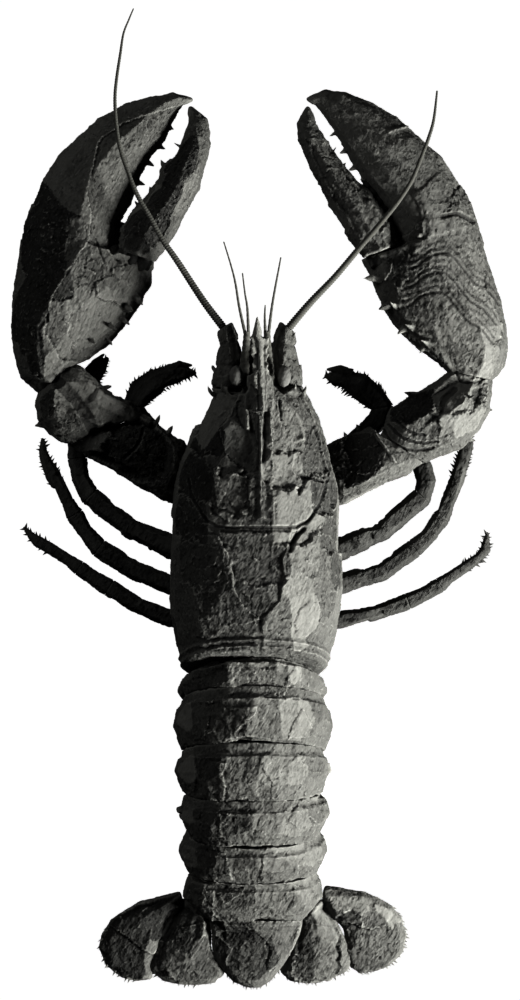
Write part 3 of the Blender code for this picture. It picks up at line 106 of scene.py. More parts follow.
class Tree:
    """A node tree in the making."""

    def __init__(self, group):
        self.group = group

    def fill(self, node, key, value):
        """Gives a node's input a value, or joins it to a wire or to a list of wires."""
        if isinstance(value, (Wire, list)):
            for wire in value if isinstance(value, list) else [value]:
                self.group.links.new(wire.socket, node.inputs[key])
        elif value is not None:
            node.inputs[key].default_value = value

    def lay(self, kind, *values, **named):
        """Lays a node. The values go to its first inputs in turn, and None skips one. A name with a capital
        is an input, with _ for each space, and any other name is a setting."""
        node = self.group.nodes.new(next(p + kind for p in NODE_PREFIXES if hasattr(bpy.types, p + kind)))
        for name, value in named.items():
            if name[0].islower():
                setattr(node, name, value)
        for number, value in enumerate(values):
            self.fill(node, number, value)
        for name, value in named.items():
            if name[0].isupper():
                self.fill(node, name.replace("_", " "), value)
        return Wire(self, node.outputs[0])

    def ramp(self, value, low, high, to_low=0.0, to_high=1.0):
        """Value carried smoothly from one range to another."""
        return self.lay("MapRange", value, low, high, to_low, to_high, interpolation_type="SMOOTHSTEP")

    def noise(self, place, size, detail=3.0, roughness=0.55, **more):
        """Noise whose lumps are about `size` across."""
        return self.lay("TexNoise", Vector=place, Scale=1 / size, Detail=detail, Roughness=roughness, **more)

    def swirl(self, *lumps):
        """Noise that points every way round nought."""
        return self.noise(*lumps)["Color"] - (0.5, 0.5, 0.5)

    def facets(self, where, width):
        """How far small facets of about this width rise, each tilted its own way."""
        cell = self.lay("TexVoronoi", Vector=where, Scale=1 / width)
        return (where - cell["Position"]).dot(cell["Color"] - (0.5, 0.5, 0.5))

    def chance(self, low, high, seed):
        """A random number, or a random vector, between two others."""
        if isinstance(low, tuple):
            return self.lay("RandomValue", low, high, Seed=seed, data_type="FLOAT_VECTOR")
        return self.lay("RandomValue", None, None, low, high, Seed=seed)[1]

    def keep(self, geometry, name, value):
        """Geometry with the value stored on its points under a name."""
        return self.lay("StoreNamedAttribute", Geometry=geometry, Name=name, Value=value,
                        data_type=kind_of(value))

    def kept(self, name, kind="FLOAT"):
        """A value stored on the points."""
        return self.lay("InputNamedAttribute", Name=name, data_type=kind)

    def blurred(self, value, times):
        return self.lay("BlurAttribute", Value=value, Iterations=times, data_type=value.kind)

    def value_at(self, geometry, index, value):
        """What a value is on one point of other geometry."""
        return self.lay("SampleIndex", Geometry=geometry, Value=value, Index=index, data_type=value.kind)

    def shift(self, geometry, offset):
        return self.lay("SetPosition", Geometry=geometry, Offset=offset)

    def move_to(self, geometry, place):
        return self.lay("SetPosition", Geometry=geometry, Position=place)

    def drop(self, geometry, points):
        return self.lay("DeleteGeometry", Geometry=geometry, Selection=points)

    def shape_of(self, handed_in):
        """The shape of an object that the tree is given."""
        return self.lay("ObjectInfo", Object=handed_in)["Geometry"]

    def smooth_line(self, mesh):
        """A line of points as a curve that runs smoothly through them."""
        line = self.lay("MeshToCurve", Mesh=mesh)
        return self.lay("CurveSplineType", Curve=line, spline_type="CATMULL_ROM")

    def finish(self, geometry, stone):
        """Ends the tree in real geometry of one stone."""
        real = self.lay("RealizeInstances", geometry)
        faced = self.lay("SetMaterial", Geometry=real, Material=stone)
        self.fill(self.group.nodes.new("NodeGroupOutput"), 0, faced)
        return self.group


def new_tree(name, inputs):
    """A Geometry Nodes tree, and its inputs by name, each with its kind and its usual value."""
    group = bpy.data.node_groups.new(name, "GeometryNodeTree")
    for title, kind, value in [("Geometry", "Geometry", None)] + inputs:
        socket = group.interface.new_socket(title, in_out="INPUT", socket_type="NodeSocket" + kind)
        if value is not None:
            socket.default_value = value
    group.interface.new_socket("Geometry", in_out="OUTPUT", socket_type="NodeSocketGeometry")
    tree = Tree(group)
    return tree, tree.lay("NodeGroupInput")


# What the flaking tree is told for each piece, and what it does where it is told nothing.
FLAKING_INPUTS = [
    ("Flake Width", "Float", 9 * MM), ("Flake Depth", "Float", 0.8 * MM), ("Flake Tilt", "Float", 0.14),
    ("Edge Wander", "Float", 0.7 * MM), ("Warp", "Float", 0.9 * MM), ("Chip Width", "Float", 3.4 * MM),
    ("Chip Depth", "Float", 0.4 * MM), ("Hackle Width", "Float", 2.4 * MM),
    ("Hackle Depth", "Float", 0.4 * MM), ("Swell", "Float", 0.3 * MM), ("Deepest Cut", "Float", 2.6 * MM),
    ("Placed", "Bool", False), ("Flake Marks", "Object", None), ("Scored Lines", "Object", None),
    ("Beds", "Object", None), ("Seed", "Int", 1), ("Stone", "Material", None),
]
# How often the form is blurred for the flakes to lie on, a thickness above which nothing is thin, and
# the share of its thickness that a cut may take.
FORM_BLUR = 24
THICK_ENOUGH = 16 * MM
CUT_SHARE = 0.22
# How far a face has to look up for marks to take it over, a height that clears the animal, and one that
# clears the facets laid in plan.
LOOKS_UP = 0.35
ABOVE_ALL = 0.2
ABOVE_PLAN = 0.01
# A step through the noise from flake to flake, so that no two edges are alike, and where a flake ends
# that faces another way.
EDGE_STEP = 0.731
TURNED_AWAY = (0.35, 0.6)
# The chips' two sizes as shares of the chip width, each with a shift of its pattern.
CHIP_SIZES = ((1.0, 0.0), (0.42, 0.37))
# A loose chunk with fewer points is a crumb.
CRUMB_POINTS = 60.0
DOWN = (0.0, 0.0, -1.0)
UP = (0.0, 0.0, 1.0)
IN_PLAN = (1.0, 1.0, 0.0)


def flaking_tree():
    """Splits a surface into flat flakes with wandering, stepped edges, then chips and grains it."""
    tree, given = new_tree("flaked_stone", FLAKING_INPUTS)
    place = tree.lay("InputPosition")
    normal = tree.lay("InputNormal")
    body = tree.keep(given["Geometry"], "form", tree.blurred(place, FORM_BLUR))
    body = tree.keep(body, "lean", tree.blurred(normal, FORM_BLUR).do("NORMALIZE"))
    form = tree.kept("form", "FLOAT_VECTOR")
    lean = tree.kept("lean", "FLOAT_VECTOR")
    # Thorns, hems and whatever else is thin or stands out from the blurred form is cut less.
    across = tree.lay("Raycast", Target_Geometry=given["Geometry"], Ray_Length=THICK_ENOUGH,
                      Source_Position=place - normal * (0.3 * MM), Ray_Direction=normal * -1.0)
    across = tree.lay("Switch", across["Is Hit"], THICK_ENOUGH, across["Hit Distance"], input_type="FLOAT")
    body = tree.keep(body, "thick", across)
    body = tree.keep(body, "thick", tree.blurred(tree.kept("thick"), 6))
    body = tree.keep(body, "stand", place.do("DISTANCE", form, out=1))
    body = tree.keep(body, "stand", tree.blurred(tree.kept("stand"), 16))
    thick = tree.kept("thick")
    stout = tree.ramp(thick, 1.5 * MM, 5.5 * MM)
    body = tree.keep(body, "firm", stout * tree.ramp(tree.kept("stand"), 0.2 * MM, 0.5 * MM, 1.0, 0.0))
    firm = tree.kept("firm")

    # One point for each flake: spread by itself, and on top as listed where marks are given.
    spread = tree.lay("DistributePointsOnFaces", Mesh=body, Distance_Min=given["Flake Width"],
                      Density_Max=60000.0, Seed=given["Seed"], distribute_method="POISSON")
    on_top = spread["Normal"].height().do("GREATER_THAN", LOOKS_UP)
    lone = tree.drop(spread, tree.lay("BooleanMath", on_top, given["Placed"], operation="AND"))
    nearest = tree.lay("SampleNearestSurface", Mesh=body, Value=lean, Sample_Position=place,
                       data_type=lean.kind)
    lone = tree.keep(lone, "lean", nearest)
    lone = tree.keep(lone, "tone", tree.chance(0.2, 1.0, given["Seed"]))
    sway = tree.chance((-1.0, -1.0, -1.0), (1.0, 1.0, 1.0), given["Seed"])
    lone = tree.keep(lone, "lean", (lean + sway * given["Flake Tilt"]).do("NORMALIZE"))
    lone = tree.shift(lone, lean * (tree.kept("tone") * given["Flake Depth"] * -1.0))
    # A mark drops straight down on the stone. One that misses it is left out.
    marks = tree.lay("MeshToPoints", Mesh=tree.shape_of(given["Flake Marks"]))
    found = tree.lay("Raycast", Target_Geometry=body, Ray_Direction=DOWN,
                     Source_Position=place * IN_PLAN + (0.0, 0.0, ABOVE_ALL), Ray_Length=2 * ABOVE_ALL)
    marks = tree.drop(marks, tree.lay("BooleanMath", found["Is Hit"], operation="NOT"))
    depth = tree.lay("CombineXYZ", Z=place.height())
    marks = tree.move_to(marks, found["Hit Position"] - depth)
    points = tree.lay("JoinGeometry", [lone, marks])

    # Each flake's plane cuts off what stands above it, as far as the flake reaches. The lowest cut counts,
    # and gives the stone its tone there: at random on the spread flakes, and painted light and shade on the
    # placed ones.
    count = tree.lay("AttributeDomainSize", points, component="POINTCLOUD")
    body = tree.keep(tree.keep(body, "low", 0.0), "tone", 0.5)
    start = tree.group.nodes.new("GeometryNodeRepeatInput")
    end = tree.group.nodes.new("GeometryNodeRepeatOutput")
    start.pair_with_output(end)
    tree.fill(start, "Iterations", count)
    tree.fill(start, "Geometry", body)
    turn = Wire(tree, start.outputs["Iteration"])
    flake_place = tree.value_at(points, turn, place)
    flake_lean = tree.value_at(points, turn, lean).do("NORMALIZE")
    way = flake_place - form
    facing = lean.dot(flake_lean)
    rough = tree.noise(place + tree.lay("CombineXYZ", X=turn * EDGE_STEP), 6 * MM, 5.0, 0.6) - 0.5
    reach = given["Flake Width"] * (rough + 1.2)
    beyond = (way.do("LENGTH", out=1) - reach).do("MAXIMUM", 0.0)
    turned_away = tree.ramp(facing, *TURNED_AWAY, 1.0, 0.0) * (10 * MM)
    above = way.dot(flake_lean) / facing.do("MAXIMUM", 0.4) + rough * given["Edge Wander"]
    above = above + (beyond + turned_away)
    low = tree.kept("low")
    tone = tree.kept("tone")
    flake_tone_and_painted_light = tree.value_at(points, turn, tone)
    tone_and_painted_light_there = tree.lay("Mix", above.do("LESS_THAN", low), None, tone, flake_tone_and_painted_light)
    marked = tree.keep(Wire(tree, start.outputs["Geometry"]), "tone", tone_and_painted_light_there)
    tree.fill(end, "Geometry", tree.keep(marked, "low", above.do("MINIMUM", low)))
    deepest = (thick * CUT_SHARE).do("MINIMUM", given["Deepest Cut"]) * -1.0
    flaked = tree.shift(Wire(tree, end.outputs["Geometry"]), lean * (low.do("MAXIMUM", deepest) * firm))

    # Beds split off or left standing, and scored lines, both laid down in plan.
    flat = place * IN_PLAN
    jag = tree.swirl(place, 5 * MM, 6.0, 0.7) * (2.6 * MM, 2.6 * MM, 0.0)
    bed = tree.lay("Raycast", Target_Geometry=tree.shape_of(given["Beds"]), Attribute=tree.kept("rise"),
                   Source_Position=flat + jag + (0.0, 0.0, -ABOVE_PLAN), Ray_Direction=UP,
                   Ray_Length=10 * ABOVE_PLAN)
    rise = bed["Attribute"] * bed["Is Hit"]
    lines = tree.smooth_line(tree.shape_of(given["Scored Lines"]))
    lines = tree.lay("CurveToPoints", Curve=lines, Length=0.25 * MM, mode="LENGTH")
    shaky = flat + jag * 0.3
    line = tree.lay("SampleNearest", Geometry=lines, Sample_Position=shaky)
    away = shaky.do("DISTANCE", tree.value_at(lines, line, place), out=1)
    groove = tree.ramp(away / tree.value_at(lines, line, tree.kept("width")), 0.25, 1.0, 1.0, 0.0)
    groove = groove * tree.value_at(lines, line, tree.kept("depth"))
    # The grooves' depth is kept for the colour, which darkens grooves as painted shade and makes ridges
    # paler.
    flaked = tree.keep(flaked, "scored", groove)
    flaked = tree.shift(flaked, lean * ((rise - groove) * tree.ramp(lean.height(), 0.02, 0.2)))

    # Chips: small tilted facets in two sizes, with hackle over all. Both are deeper on the dark flakes
    # than on the pale ones, a little by chance, and shallower on thorns and hems.
    coarse = ((tone * 7.3).do("FRACT") - tone * 2.8) * 0.3 + 1.1
    bend = tree.swirl(place, 3 * MM) * (2.4 * MM)
    lift = 0.0
    for share, seed in CHIP_SIZES:
        width = given["Chip Width"] * share
        slope = tree.facets(place + bend + (seed, seed, seed), width) / width
        lift = slope * (given["Chip Depth"] * (2.2 * share)) + lift
    hackle = tree.noise(place, given["Hackle Width"], 6.0, 0.62, Distortion=0.6)
    lift = lift + (hackle - 0.5) * given["Hackle Depth"]
    spared = firm * 0.7 + 0.3
    lift = lift * (coarse * spared) + given["Swell"]
    bent = tree.swirl(place, 7 * MM, 4.0, 0.6) * (1.0, 1.0, 0.4) * (given["Warp"] * (spared * 2.0))
    chipped = tree.keep(tree.shift(flaked, lean * lift + bent), "coarse", coarse)
    chipped = tree.move_to(chipped, place.do("MAXIMUM", (-1.0, -1.0, 0.0)))
    # Crumbs that came loose from the tips of thin thorns are dropped.
    chunk = tree.lay("InputMeshIsland")["Island Index"]
    held = tree.lay("AccumulateField", Value=1, Group_ID=chunk, data_type="INT")["Total"]
    chipped = tree.drop(chipped, held.do("LESS_THAN", CRUMB_POINTS))

    # Above nought on edges and scored ridges that stand out, which the colour shows as paler wear, and below
    # it in cracks and scored grooves, which it darkens as painted shade.
    hollow = place - tree.blurred(place, 3)
    wear = hollow.dot(normal) * (1 / (0.12 * MM)) - tree.kept("scored") / (0.3 * MM)
    smooth = tree.lay("SetShadeSmooth", tree.keep(chipped, "wear", wear))
    return tree.finish(smooth, given["Stone"])


FLAKING = flaking_tree()


def add_object(name, data):
    """An object in the scene."""
    thing = bpy.data.objects.new(name, data)
    bpy.context.scene.collection.objects.link(thing)
    return thing


def work(piece, group, values):
    """Works a piece with a tree, whose inputs are given by name, then makes it a plain mesh that belongs
    to the one body."""
    modifier = piece.modifiers.new(group.name, "NODES")
    modifier.node_group = group
    for item in group.interface.items_tree:
        if item.in_out == "INPUT" and item.name in values:
            modifier[item.identifier] = values[item.name]
    depsgraph = bpy.context.evaluated_depsgraph_get()
    plain = bpy.data.meshes.new_from_object(piece.evaluated_get(depsgraph))
    piece.modifiers.clear()
    piece.data = plain
    plain.name = piece.name
    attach(piece, "root")


def points_mesh(name, points, edges=(), faces=(), **on_points):
    """A mesh, with a number or a vector stored on each point under each name."""
    mesh = bpy.data.meshes.new(name)
    mesh.from_pydata(points, edges, faces)
    for title, values in on_points.items():
        if isinstance(values[0], Vector):
            flat = [c for vector in values for c in vector]
            mesh.attributes.new(title, "FLOAT_VECTOR", "POINT").data.foreach_set("vector", flat)
        else:
            mesh.attributes.new(title, "FLOAT", "POINT").data.foreach_set("value", values)
    return mesh


def chain_edges(lines):
    """The edges that join the points of each line, where the lines' points follow one another."""
    edges = []
    first = 0
    for line in lines:
        edges += [(first + i, first + i + 1) for i in range(len(line) - 1)]
        first += len(line)
    return edges


def marks_object(marks):
    """Flakes laid as listed: x, y and how deep each cuts, in millimetres, its lean to the right and towards
    the head in degrees, and how pale the stone is painted there, from 0 to 1, which is painted light and
    shade."""
    leans = [Vector((math.tan(math.radians(right)), math.tan(math.radians(ahead)), 1)).normalized()
             for _, _, _, right, ahead, _ in marks]
    mesh = points_mesh("flake_marks", [Vector(m[:3]) * MM for m in marks], lean=leans,
                       tone=[m[5] for m in marks])
    return bpy.data.objects.new("flake_marks", mesh)


def lines_object(lines):
    """Scored lines in plan: points in millimetres, width and depth; a ridge has a depth below nought. The
    colour darkens a groove as painted shade and makes a ridge paler.
    """
    chains = [line for line, _, _ in lines]
    mesh = points_mesh("scored_lines", [Vector((x, y, 0)) * MM for line in chains for x, y in line],
                       chain_edges(chains),
                       width=[width * MM for line, width, _ in lines for _ in line],
                       depth=[depth * MM for line, _, depth in lines for _ in line])
    return bpy.data.objects.new("scored_lines", mesh)


def beds_object(beds):
    """Facets in plan, each a list of corners with x, y and how far the stone stands up there. Where two
    facets cross, the later one counts."""
    points, faces, rises = [], [], []
    for layer, outline in enumerate(beds):
        faces.append(range(len(points), len(points) + len(outline)))
        points += [Vector((x, y, -0.01 * layer)) * MM for x, y, _ in outline]
        rises += [rise * MM for _, _, rise in outline]
    return bpy.data.objects.new("beds", points_mesh("beds", points, (), faces, rise=rises))


def cut_stone(node, material, voxel, cut, marks=None, lines=None, beds=None, seed=1):
    """A CAD node's form hewn in stone, which then stands for the node. The node's mesh is loose
    triangles, so they are joined first."""
    mesh = bpy.data.meshes.new(node + "_stone")
    bm = bmesh.new()
    bm.from_mesh(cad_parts[node].data)
    bmesh.ops.remove_doubles(bm, verts=bm.verts, dist=0.001 * MM)
    bm.to_mesh(mesh)
    bm.free()
    piece = add_object(node + "_stone", mesh)
    fine = piece.modifiers.new("even_mesh", "REMESH")
    fine.mode = "VOXEL"
    fine.voxel_size = voxel * 1
    values = dict(cut, Seed=seed, Stone=material)
    if marks:
        values.update({"Placed": True, "Flake Marks": marks_object(marks)})
    if lines:
        values["Scored Lines"] = lines_object(lines)
    if beds:
        values["Beds"] = beds_object(beds)
    work(piece, FLAKING, values)
    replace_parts(piece, node)


# The way that the stone's streaks run over the animal, and the grain's two sizes with their steepness.
STREAKS_TURN = (0, 0, math.radians(58))
GRAIN_SIZES = ((1.9 * MM, 0.35), (0.8 * MM, 0.85))
HACKLE_RISE = 0.35 * MM


def slate(name, dark=(0.018, 0.018, 0.0165), pale=(0.15, 0.15, 0.138), relief_share=1.0):
    """Dull, dark slate: clouded colour, flake tones that are partly painted light and shade, paler worn
    edges, cracks and scored grooves darkened as painted shade, and a split, hackly grain whose streaks run
    slantwise over the animal."""
    material = bpy.data.materials.new(name)
    material.use_nodes = True
    tree = Tree(material.node_tree)
    shader = material.node_tree.nodes["Principled BSDF"]
    place = tree.lay("TexCoord")["Object"]

    def streaked(stretch):
        """Places in a pattern that is drawn out along the streaks."""
        return tree.lay("Mapping", Vector=place, Rotation=STREAKS_TURN, Scale=(stretch, 1, 1),
                        vector_type="TEXTURE")

    def mixed(share, first, second, **settings):
        return tree.lay("Mix", share, None, None, None, None, None, first, second,
                        data_type="RGBA", **settings)[2]

    tone, wear, coarse = (tree.lay("Attribute", attribute_name=title)["Fac"]
                          for title in ("tone", "wear", "coarse"))
    clouds = tree.noise(place, 14 * MM, 5.0, 0.6)
    specks = tree.noise(place, 0.9 * MM, 2.0, 0.5)
    # How pale the stone is: clouds and specks are its own colour, and the flakes' tones add painted light
    # and shade.
    shade = tree.lay("Clamp", tone * 0.9 + (clouds * 0.4 + specks * 0.3 - 0.31))
    stone = mixed(shade, (*dark, 1), (*pale, 1))
    worn = tuple(min(1, 2.2 * c) for c in pale)
    # Edges that stand out are paler with wear; cracks and scored grooves are darkened as painted shade.
    stone = mixed(tree.ramp(wear, 0.3, 2.0) * 0.25, stone, (*worn, 1))
    stone = mixed(1.0, stone, tree.ramp(wear, -2.0, -0.2, 0.45, 1.0), blend_type="MULTIPLY")
    tree.fill(shader, "Base Color", stone)
    tree.fill(shader, "Roughness", 0.85)
    tree.fill(shader, "Specular IOR Level", 0.15)

    # The grain is a heap of tiny tilted facets in two sizes, with ridged hackle between them.
    laid = streaked(2.2)
    where = laid + tree.swirl(laid, 2 * MM) * (1.6 * MM)
    relief = 0.0
    for size, steep in GRAIN_SIZES:
        relief = tree.facets(where, size) * steep + relief
    hackle = tree.noise(laid, 1.1 * MM, 5.0, 0.65, noise_type="RIDGED_MULTIFRACTAL", normalize=True)
    relief = relief + hackle * HACKLE_RISE
    relief = relief + tree.noise(streaked(6), 0.9 * MM, 3.0, 0.6) * HACKLE_RISE
    relief = relief * (coarse * relief_share)
    tree.fill(shader, "Normal", tree.lay("Bump", Height=relief, Distance=1.0, Strength=1.0))
    return material


UNDER_STONE = slate("under_slate", (0.045, 0.045, 0.041), (0.085, 0.085, 0.078))
cut_stone("sternum", UNDER_STONE, 0.8 * MM, PLATE_CUT, seed=3)


# ---- Shield -----------------------------------------------------------------------------------
# The carapace: one arched shield over head and breast, split in stone into broad flakes that
# step down from the crest, with the neck groove across it and a toothed beak in front. It rests
# on the breast plate and laps over the first ring of the tail.

SHIELD_CUT = {"Flake Width": 16 * MM, "Flake Depth": 0.9 * MM, "Chip Width": 4 * MM, "Warp": 0.6 * MM}
# Flakes on top, from the crest outwards and from the beak back, their tones painted light and shade: pale
# where the side lamp lights them, dark on the far side and the steep outer flank.
SHIELD_FLAKES = [
    (2, -12, 0.6, -3, 0, 0.3), (1, -24, 0.8, -4, -6, 0.2), (4, 1, 0.5, 0, 3, 0.3), (25, 6, 0.6, 28, 2, 0.8),
    (-18, -4, 0.9, -20, 0, 0.25), (-19, -22, 1, -22, -5, 0.2), (-31, -14, 1.2, -56, -2, 0.4),
    (-31, -36, 1.2, -54, -8, 0.4), (-11, -40, 0.8, -12, -14, 0.3), (-27, 2, 1.1, -40, 0, 0.2),
    (20, -8, 0.9, 20, 3, 0.9), (20, -22, 1, 22, -3, 0.95), (21, -37, 1, 24, -12, 1),
    (30, -10, 1.2, 42, 0, 0.5), (32, -28, 1.2, 50, -6, 0.4), (10, -38, 0.8, 12, -13, 0.5),
    (36, 0, 1.2, 70, 0, 0.2), (13, 60, 0.8, 20, 10, 0.82), (13, 45, 0.9, 20, 6, 0.95),
    (22, 25, 1.2, 30, 4, 0.9), (14, 20, 1, 20, 2, 0.9), (24, 50, 0.9, 46, 10, 0.25),
    (29, 34, 1, 52, 8, 0.2), (33, 16, 0.9, 60, 2, 0.25), (-8, 52, 0.5, -10, 8, 0.55),
    (-9, 34, 0.6, -10, 5, 0.4), (-9, 18, 0.6, -10, 3, 0.45), (-22, 40, 1, -44, 8, 0),
    (-25, 22, 1, -44, 4, 0.1), (-17, 60, 0.8, -36, 10, 0),
]
# Grooves and ridges: the neck groove, the keel's two furrows, the keel and the short side grooves.
SHIELD_LINES = [
    ([(-29.6, 29.6), (-28.6, 23), (-25.4, 17.3), (-22, 12.1), (-19, 9.8), (-14.8, 8.2), (0, 7.9),
     (16.6, 8.2), (20, 9.2), (24.2, 11.6), (26.8, 15.4), (29.5, 19.3), (32.2, 28.6)], 0.9, 0.8),
    ([(1.2, 88), (1.4, 70), (1.6, 50), (1.7, 34)], 0.5, 0.6),
    ([(4, 88), (4.4, 70), (4.3, 52), (4.3, 40)], 0.6, 0.3),
    ([(2.6, 84), (2.9, 60), (2.8, 44), (2.6, 20), (2.5, 11)], 0.5, -0.25),
    ([(21.8, 7.2), (18.8, 4.4), (16.8, 1), (15.6, -2.4)], 1.4, 1.6),
    ([(-7.9, 64), (-7.4, 58), (-5.2, 52.5)], 0.7, 0.6), ([(10.8, 65), (11.7, 56)], 0.7, 0.6),
    ([(24, 3), (31, -6), (36, -20)], 0.5, 0.15), ([(22, 60), (27, 50), (31, 36), (33, 30)], 0.5, 0.15),
    ([(25.4, 5), (30, 0), (34, -8)], 0.4, 0.15),
]
# Facets with a rise at each corner: the dark strip and the lit lozenge beside the keel, the flank and
# the hollow that are one bed lower in front, the low strip behind the groove, and ledges round them.
SHIELD_BEDS = [
    [(3, 88, -0.2), (4.8, 88, 0), (6.2, 70, 0), (7.8, 60.4, -0.3), (7.9, 46, -0.9), (8.2, 36, 1),
     (8.8, 24, 0.8), (8.6, 19, 0.4), (3.4, 10, -0.2), (3, 28, -1), (3, 44, -0.6), (3, 52, -0.2),
     (3, 60.4, 1.1)],
    [(-2.5, 60.4, 1), (1.9, 60.4, 1.3), (1.9, 48, 0.2), (-2.5, 48, 0)],
    [(-2.8, 28.6, 1), (1.2, 33, 0.2), (2.2, 10, 0), (-0.6, 14, 0.6), (-3.4, 22, 1)],
    [(7.6, 28, -0.1), (17.6, 34, 0.1), (21.7, 30.2, 0.3), (31, 27, 0.1), (27, 14, -0.2), (16, 8, -0.2),
     (9.6, 10, 0.3), (9.6, 18, 0.4)],
    [(-16.2, 5.8, 1.1), (-13.8, -0.9, 0.3), (-9, -8, 0), (12.6, -8, 0), (15.4, -0.1, 0.3),
     (16.2, 5.8, 1.1)],
    [(16.4, 5.6, -1.2), (18.9, 6.6, -1.2), (19.4, 3.4, -0.8), (15.4, -0.4, -1.2)],
    [(-2.3, -31.5, -0.5), (-11.3, -36, -0.4), (-18, -41.9, -0.3), (-22.5, -47, -0.3), (4, -47, -0.3),
     (3, -33.4, -0.5)],
    [(24.6, -25.1, 0.3), (19.6, -29, 0.5), (17.4, -34.5, 0.5), (18.5, -41, 0.4), (33, -40, 0),
     (35, -28, 0)],
    [(-16.2, 4, 0.8), (-13.8, -0.9, 0.8), (-9.6, -7.4, 0.8), (-10.9, -9, 0.8), (-9.3, -15.5, 0.8),
     (-8.9, -21.2, 0.8), (-4.9, -26.8, 0.7), (2, -32.9, 0.5), (-6, -36, 0), (-16, -32, 0), (-22, -20, 0),
     (-24, -6, 0), (-22, 5, 0)],
    [(21.6, 7.4, 0.2), (16.2, 1, 0.3), (12.6, -5, 0.3), (12.6, -15.5, 0.3), (11.3, -24.4, 0.3),
     (7.3, -29.3, 0.3), (2.6, -33.3, 0.2), (12, -36, 0), (22, -26, 0), (27, -10, 0), (27, 8, 0)],
    [(-8.3, 63.1, 0.8), (-16, 51, 1.6), (-13.3, 40.1, 1.4), (-5.6, 34.6, 0.4), (-2.3, 31.3, 0),
     (1.4, 44.5, -0.6), (-2.4, 60, 0)],
    [(-18.2, 33.5, 1.4), (-13.4, 40, 1.4), (-5.7, 34.5, 0.4), (-4.5, 31.3, 0), (-6.1, 22.6, 0),
     (-0.4, 11.6, -0.3), (-8.9, 8.3, 0.1), (-16.6, 13.8, 1)],
]
SHIELD_STONE = slate("shield_slate")
cut_stone("carapace", SHIELD_STONE, 0.6 * MM, SHIELD_CUT, SHIELD_FLAKES, SHIELD_LINES,
          SHIELD_BEDS, seed=5)


# ---- Eyes -------------------------------------------------------------------------------------
# Two stalked eyes in the notches beside the beak, each a plain oval of stone, smoother than the
# rest because the lens left no grain.

EYE_CUT = {"Flake Width": 5 * MM, "Flake Depth": 0.1 * MM, "Chip Width": 1.5 * MM, "Chip Depth": 0.05 * MM,
           "Hackle Depth": 0.15 * MM, "Warp": 0.2 * MM}
EYE_STONE = slate("eye_slate", (0.07, 0.07, 0.065), (0.15, 0.15, 0.14), relief_share=0.35)
SIDES = ("left", "right")
for turn, side in enumerate(SIDES):
    cut_stone("eye_" + side, EYE_STONE, 0.3 * MM, EYE_CUT, seed=7 + turn)


# ---- Feeler bases, feelers and mouth feet ------------------------------------------------------
# Thick jointed stalks with spiny scales stand beside the beak. Each carries a long stiff whip that
# passes over the claws, built of hundreds of short rings, and between them are two pairs of
# hair-thin feelers. Behind lie the two folded mouth feet.

STALK_CUT = {"Flake Width": 5 * MM, "Flake Depth": 0.5 * MM, "Chip Width": 2.2 * MM, "Chip Depth": 0.22 * MM,
             "Warp": 0.5 * MM, "Swell": 0.8 * MM}
for turn, side in enumerate(SIDES):
    cut_stone("antenna_base_" + side, SHIELD_STONE, 0.4 * MM, STALK_CUT, seed=11 + turn)
for turn, side in enumerate(SIDES):
    cut_stone("maxilliped_" + side, UNDER_STONE, 0.45 * MM, STALK_CUT, seed=15 + turn)

# Each whip as x, y, z and radius along its middle line.
WHIPS = {
    "antenna_left": [
        (-12.4, 95.2, 30.2, 1.9), (-14.6, 98.2, 31, 1.9), (-23.2, 109.6, 33.5, 1.7), (-34.6, 127, 35, 1.5),
        (-41.5, 137, 35.5, 1.3), (-47, 147, 35.8, 1.2), (-53, 157.5, 36, 1.1), (-57.5, 169, 36, 1),
        (-60.5, 178, 36, 0.95), (-62.2, 189, 35.8, 0.9), (-62.8, 200, 35.4, 0.8), (-62.1, 209, 35, 0.75),
        (-60.4, 220.5, 34.4, 0.65), (-59, 229.5, 34, 0.5), (-56.5, 236, 33.6, 0.4),
        (-54.5, 240.8, 33.4, 0.3),
    ],
    "antenna_right": [
        (13.5, 95.2, 30.2, 1.9), (15.7, 98.1, 31, 1.9), (25, 109, 33.5, 1.7), (36, 120.5, 35, 1.5),
        (47, 133.5, 36.4, 1.4), (56, 144, 36.8, 1.3), (64.5, 154.5, 37, 1.15), (70.5, 164, 37, 1.05),
        (75, 175, 36.8, 0.95), (78, 183, 36.4, 0.85), (80.2, 191, 36, 0.7), (81.7, 203.8, 35.2, 0.45),
    ],
}
RINGING_INPUTS = [("Ring Spacing", "Float", 1.2 * MM), ("Ring Depth", "Float", 0.22),
                  ("Step Length", "Float", 0.3 * MM), ("Sides", "Int", 10), ("Stone", "Material", None)]


def ringing_tree():
    """A line of points with a thickness each becomes a smooth rod with a bead for each ring."""
    tree, given = new_tree("ringed_whip", RINGING_INPUTS)
    line = tree.lay("ResampleCurve", Curve=tree.smooth_line(given["Geometry"]),
                    Length=given["Step Length"], mode="LENGTH")
    turn = tree.lay("SplineParameter")["Length"] / given["Ring Spacing"] * math.pi
    bead = turn.do("SINE").do("ABSOLUTE") * given["Ring Depth"] - given["Ring Depth"] + 1.0
    line = tree.lay("SetCurveRadius", Curve=line, Radius=1.0)
    ring = tree.lay("CurvePrimitiveCircle", Resolution=given["Sides"], Radius=1.0, mode="RADIUS")
    thick = tree.kept("thickness") * bead
    rod = tree.lay("CurveToMesh", Curve=line, Profile_Curve=ring, Scale=thick, Fill_Caps=True)
    return tree.finish(tree.lay("SetShadeSmooth", rod), given["Stone"])


RINGING = ringing_tree()


def add_rod(name, lines, material, spacing, depth):
    """One or more ringed rods as one object, each a chain of points with x, y, z and radius."""
    points = [point for line in lines for point in line]
    mesh = points_mesh(name, [Vector(p[:3]) * MM for p in points], chain_edges(lines),
                       thickness=[p[3] * MM for p in points])
    piece = add_object(name, mesh)
    work(piece, RINGING, {"Ring Spacing": spacing, "Ring Depth": depth, "Stone": material})
    return piece


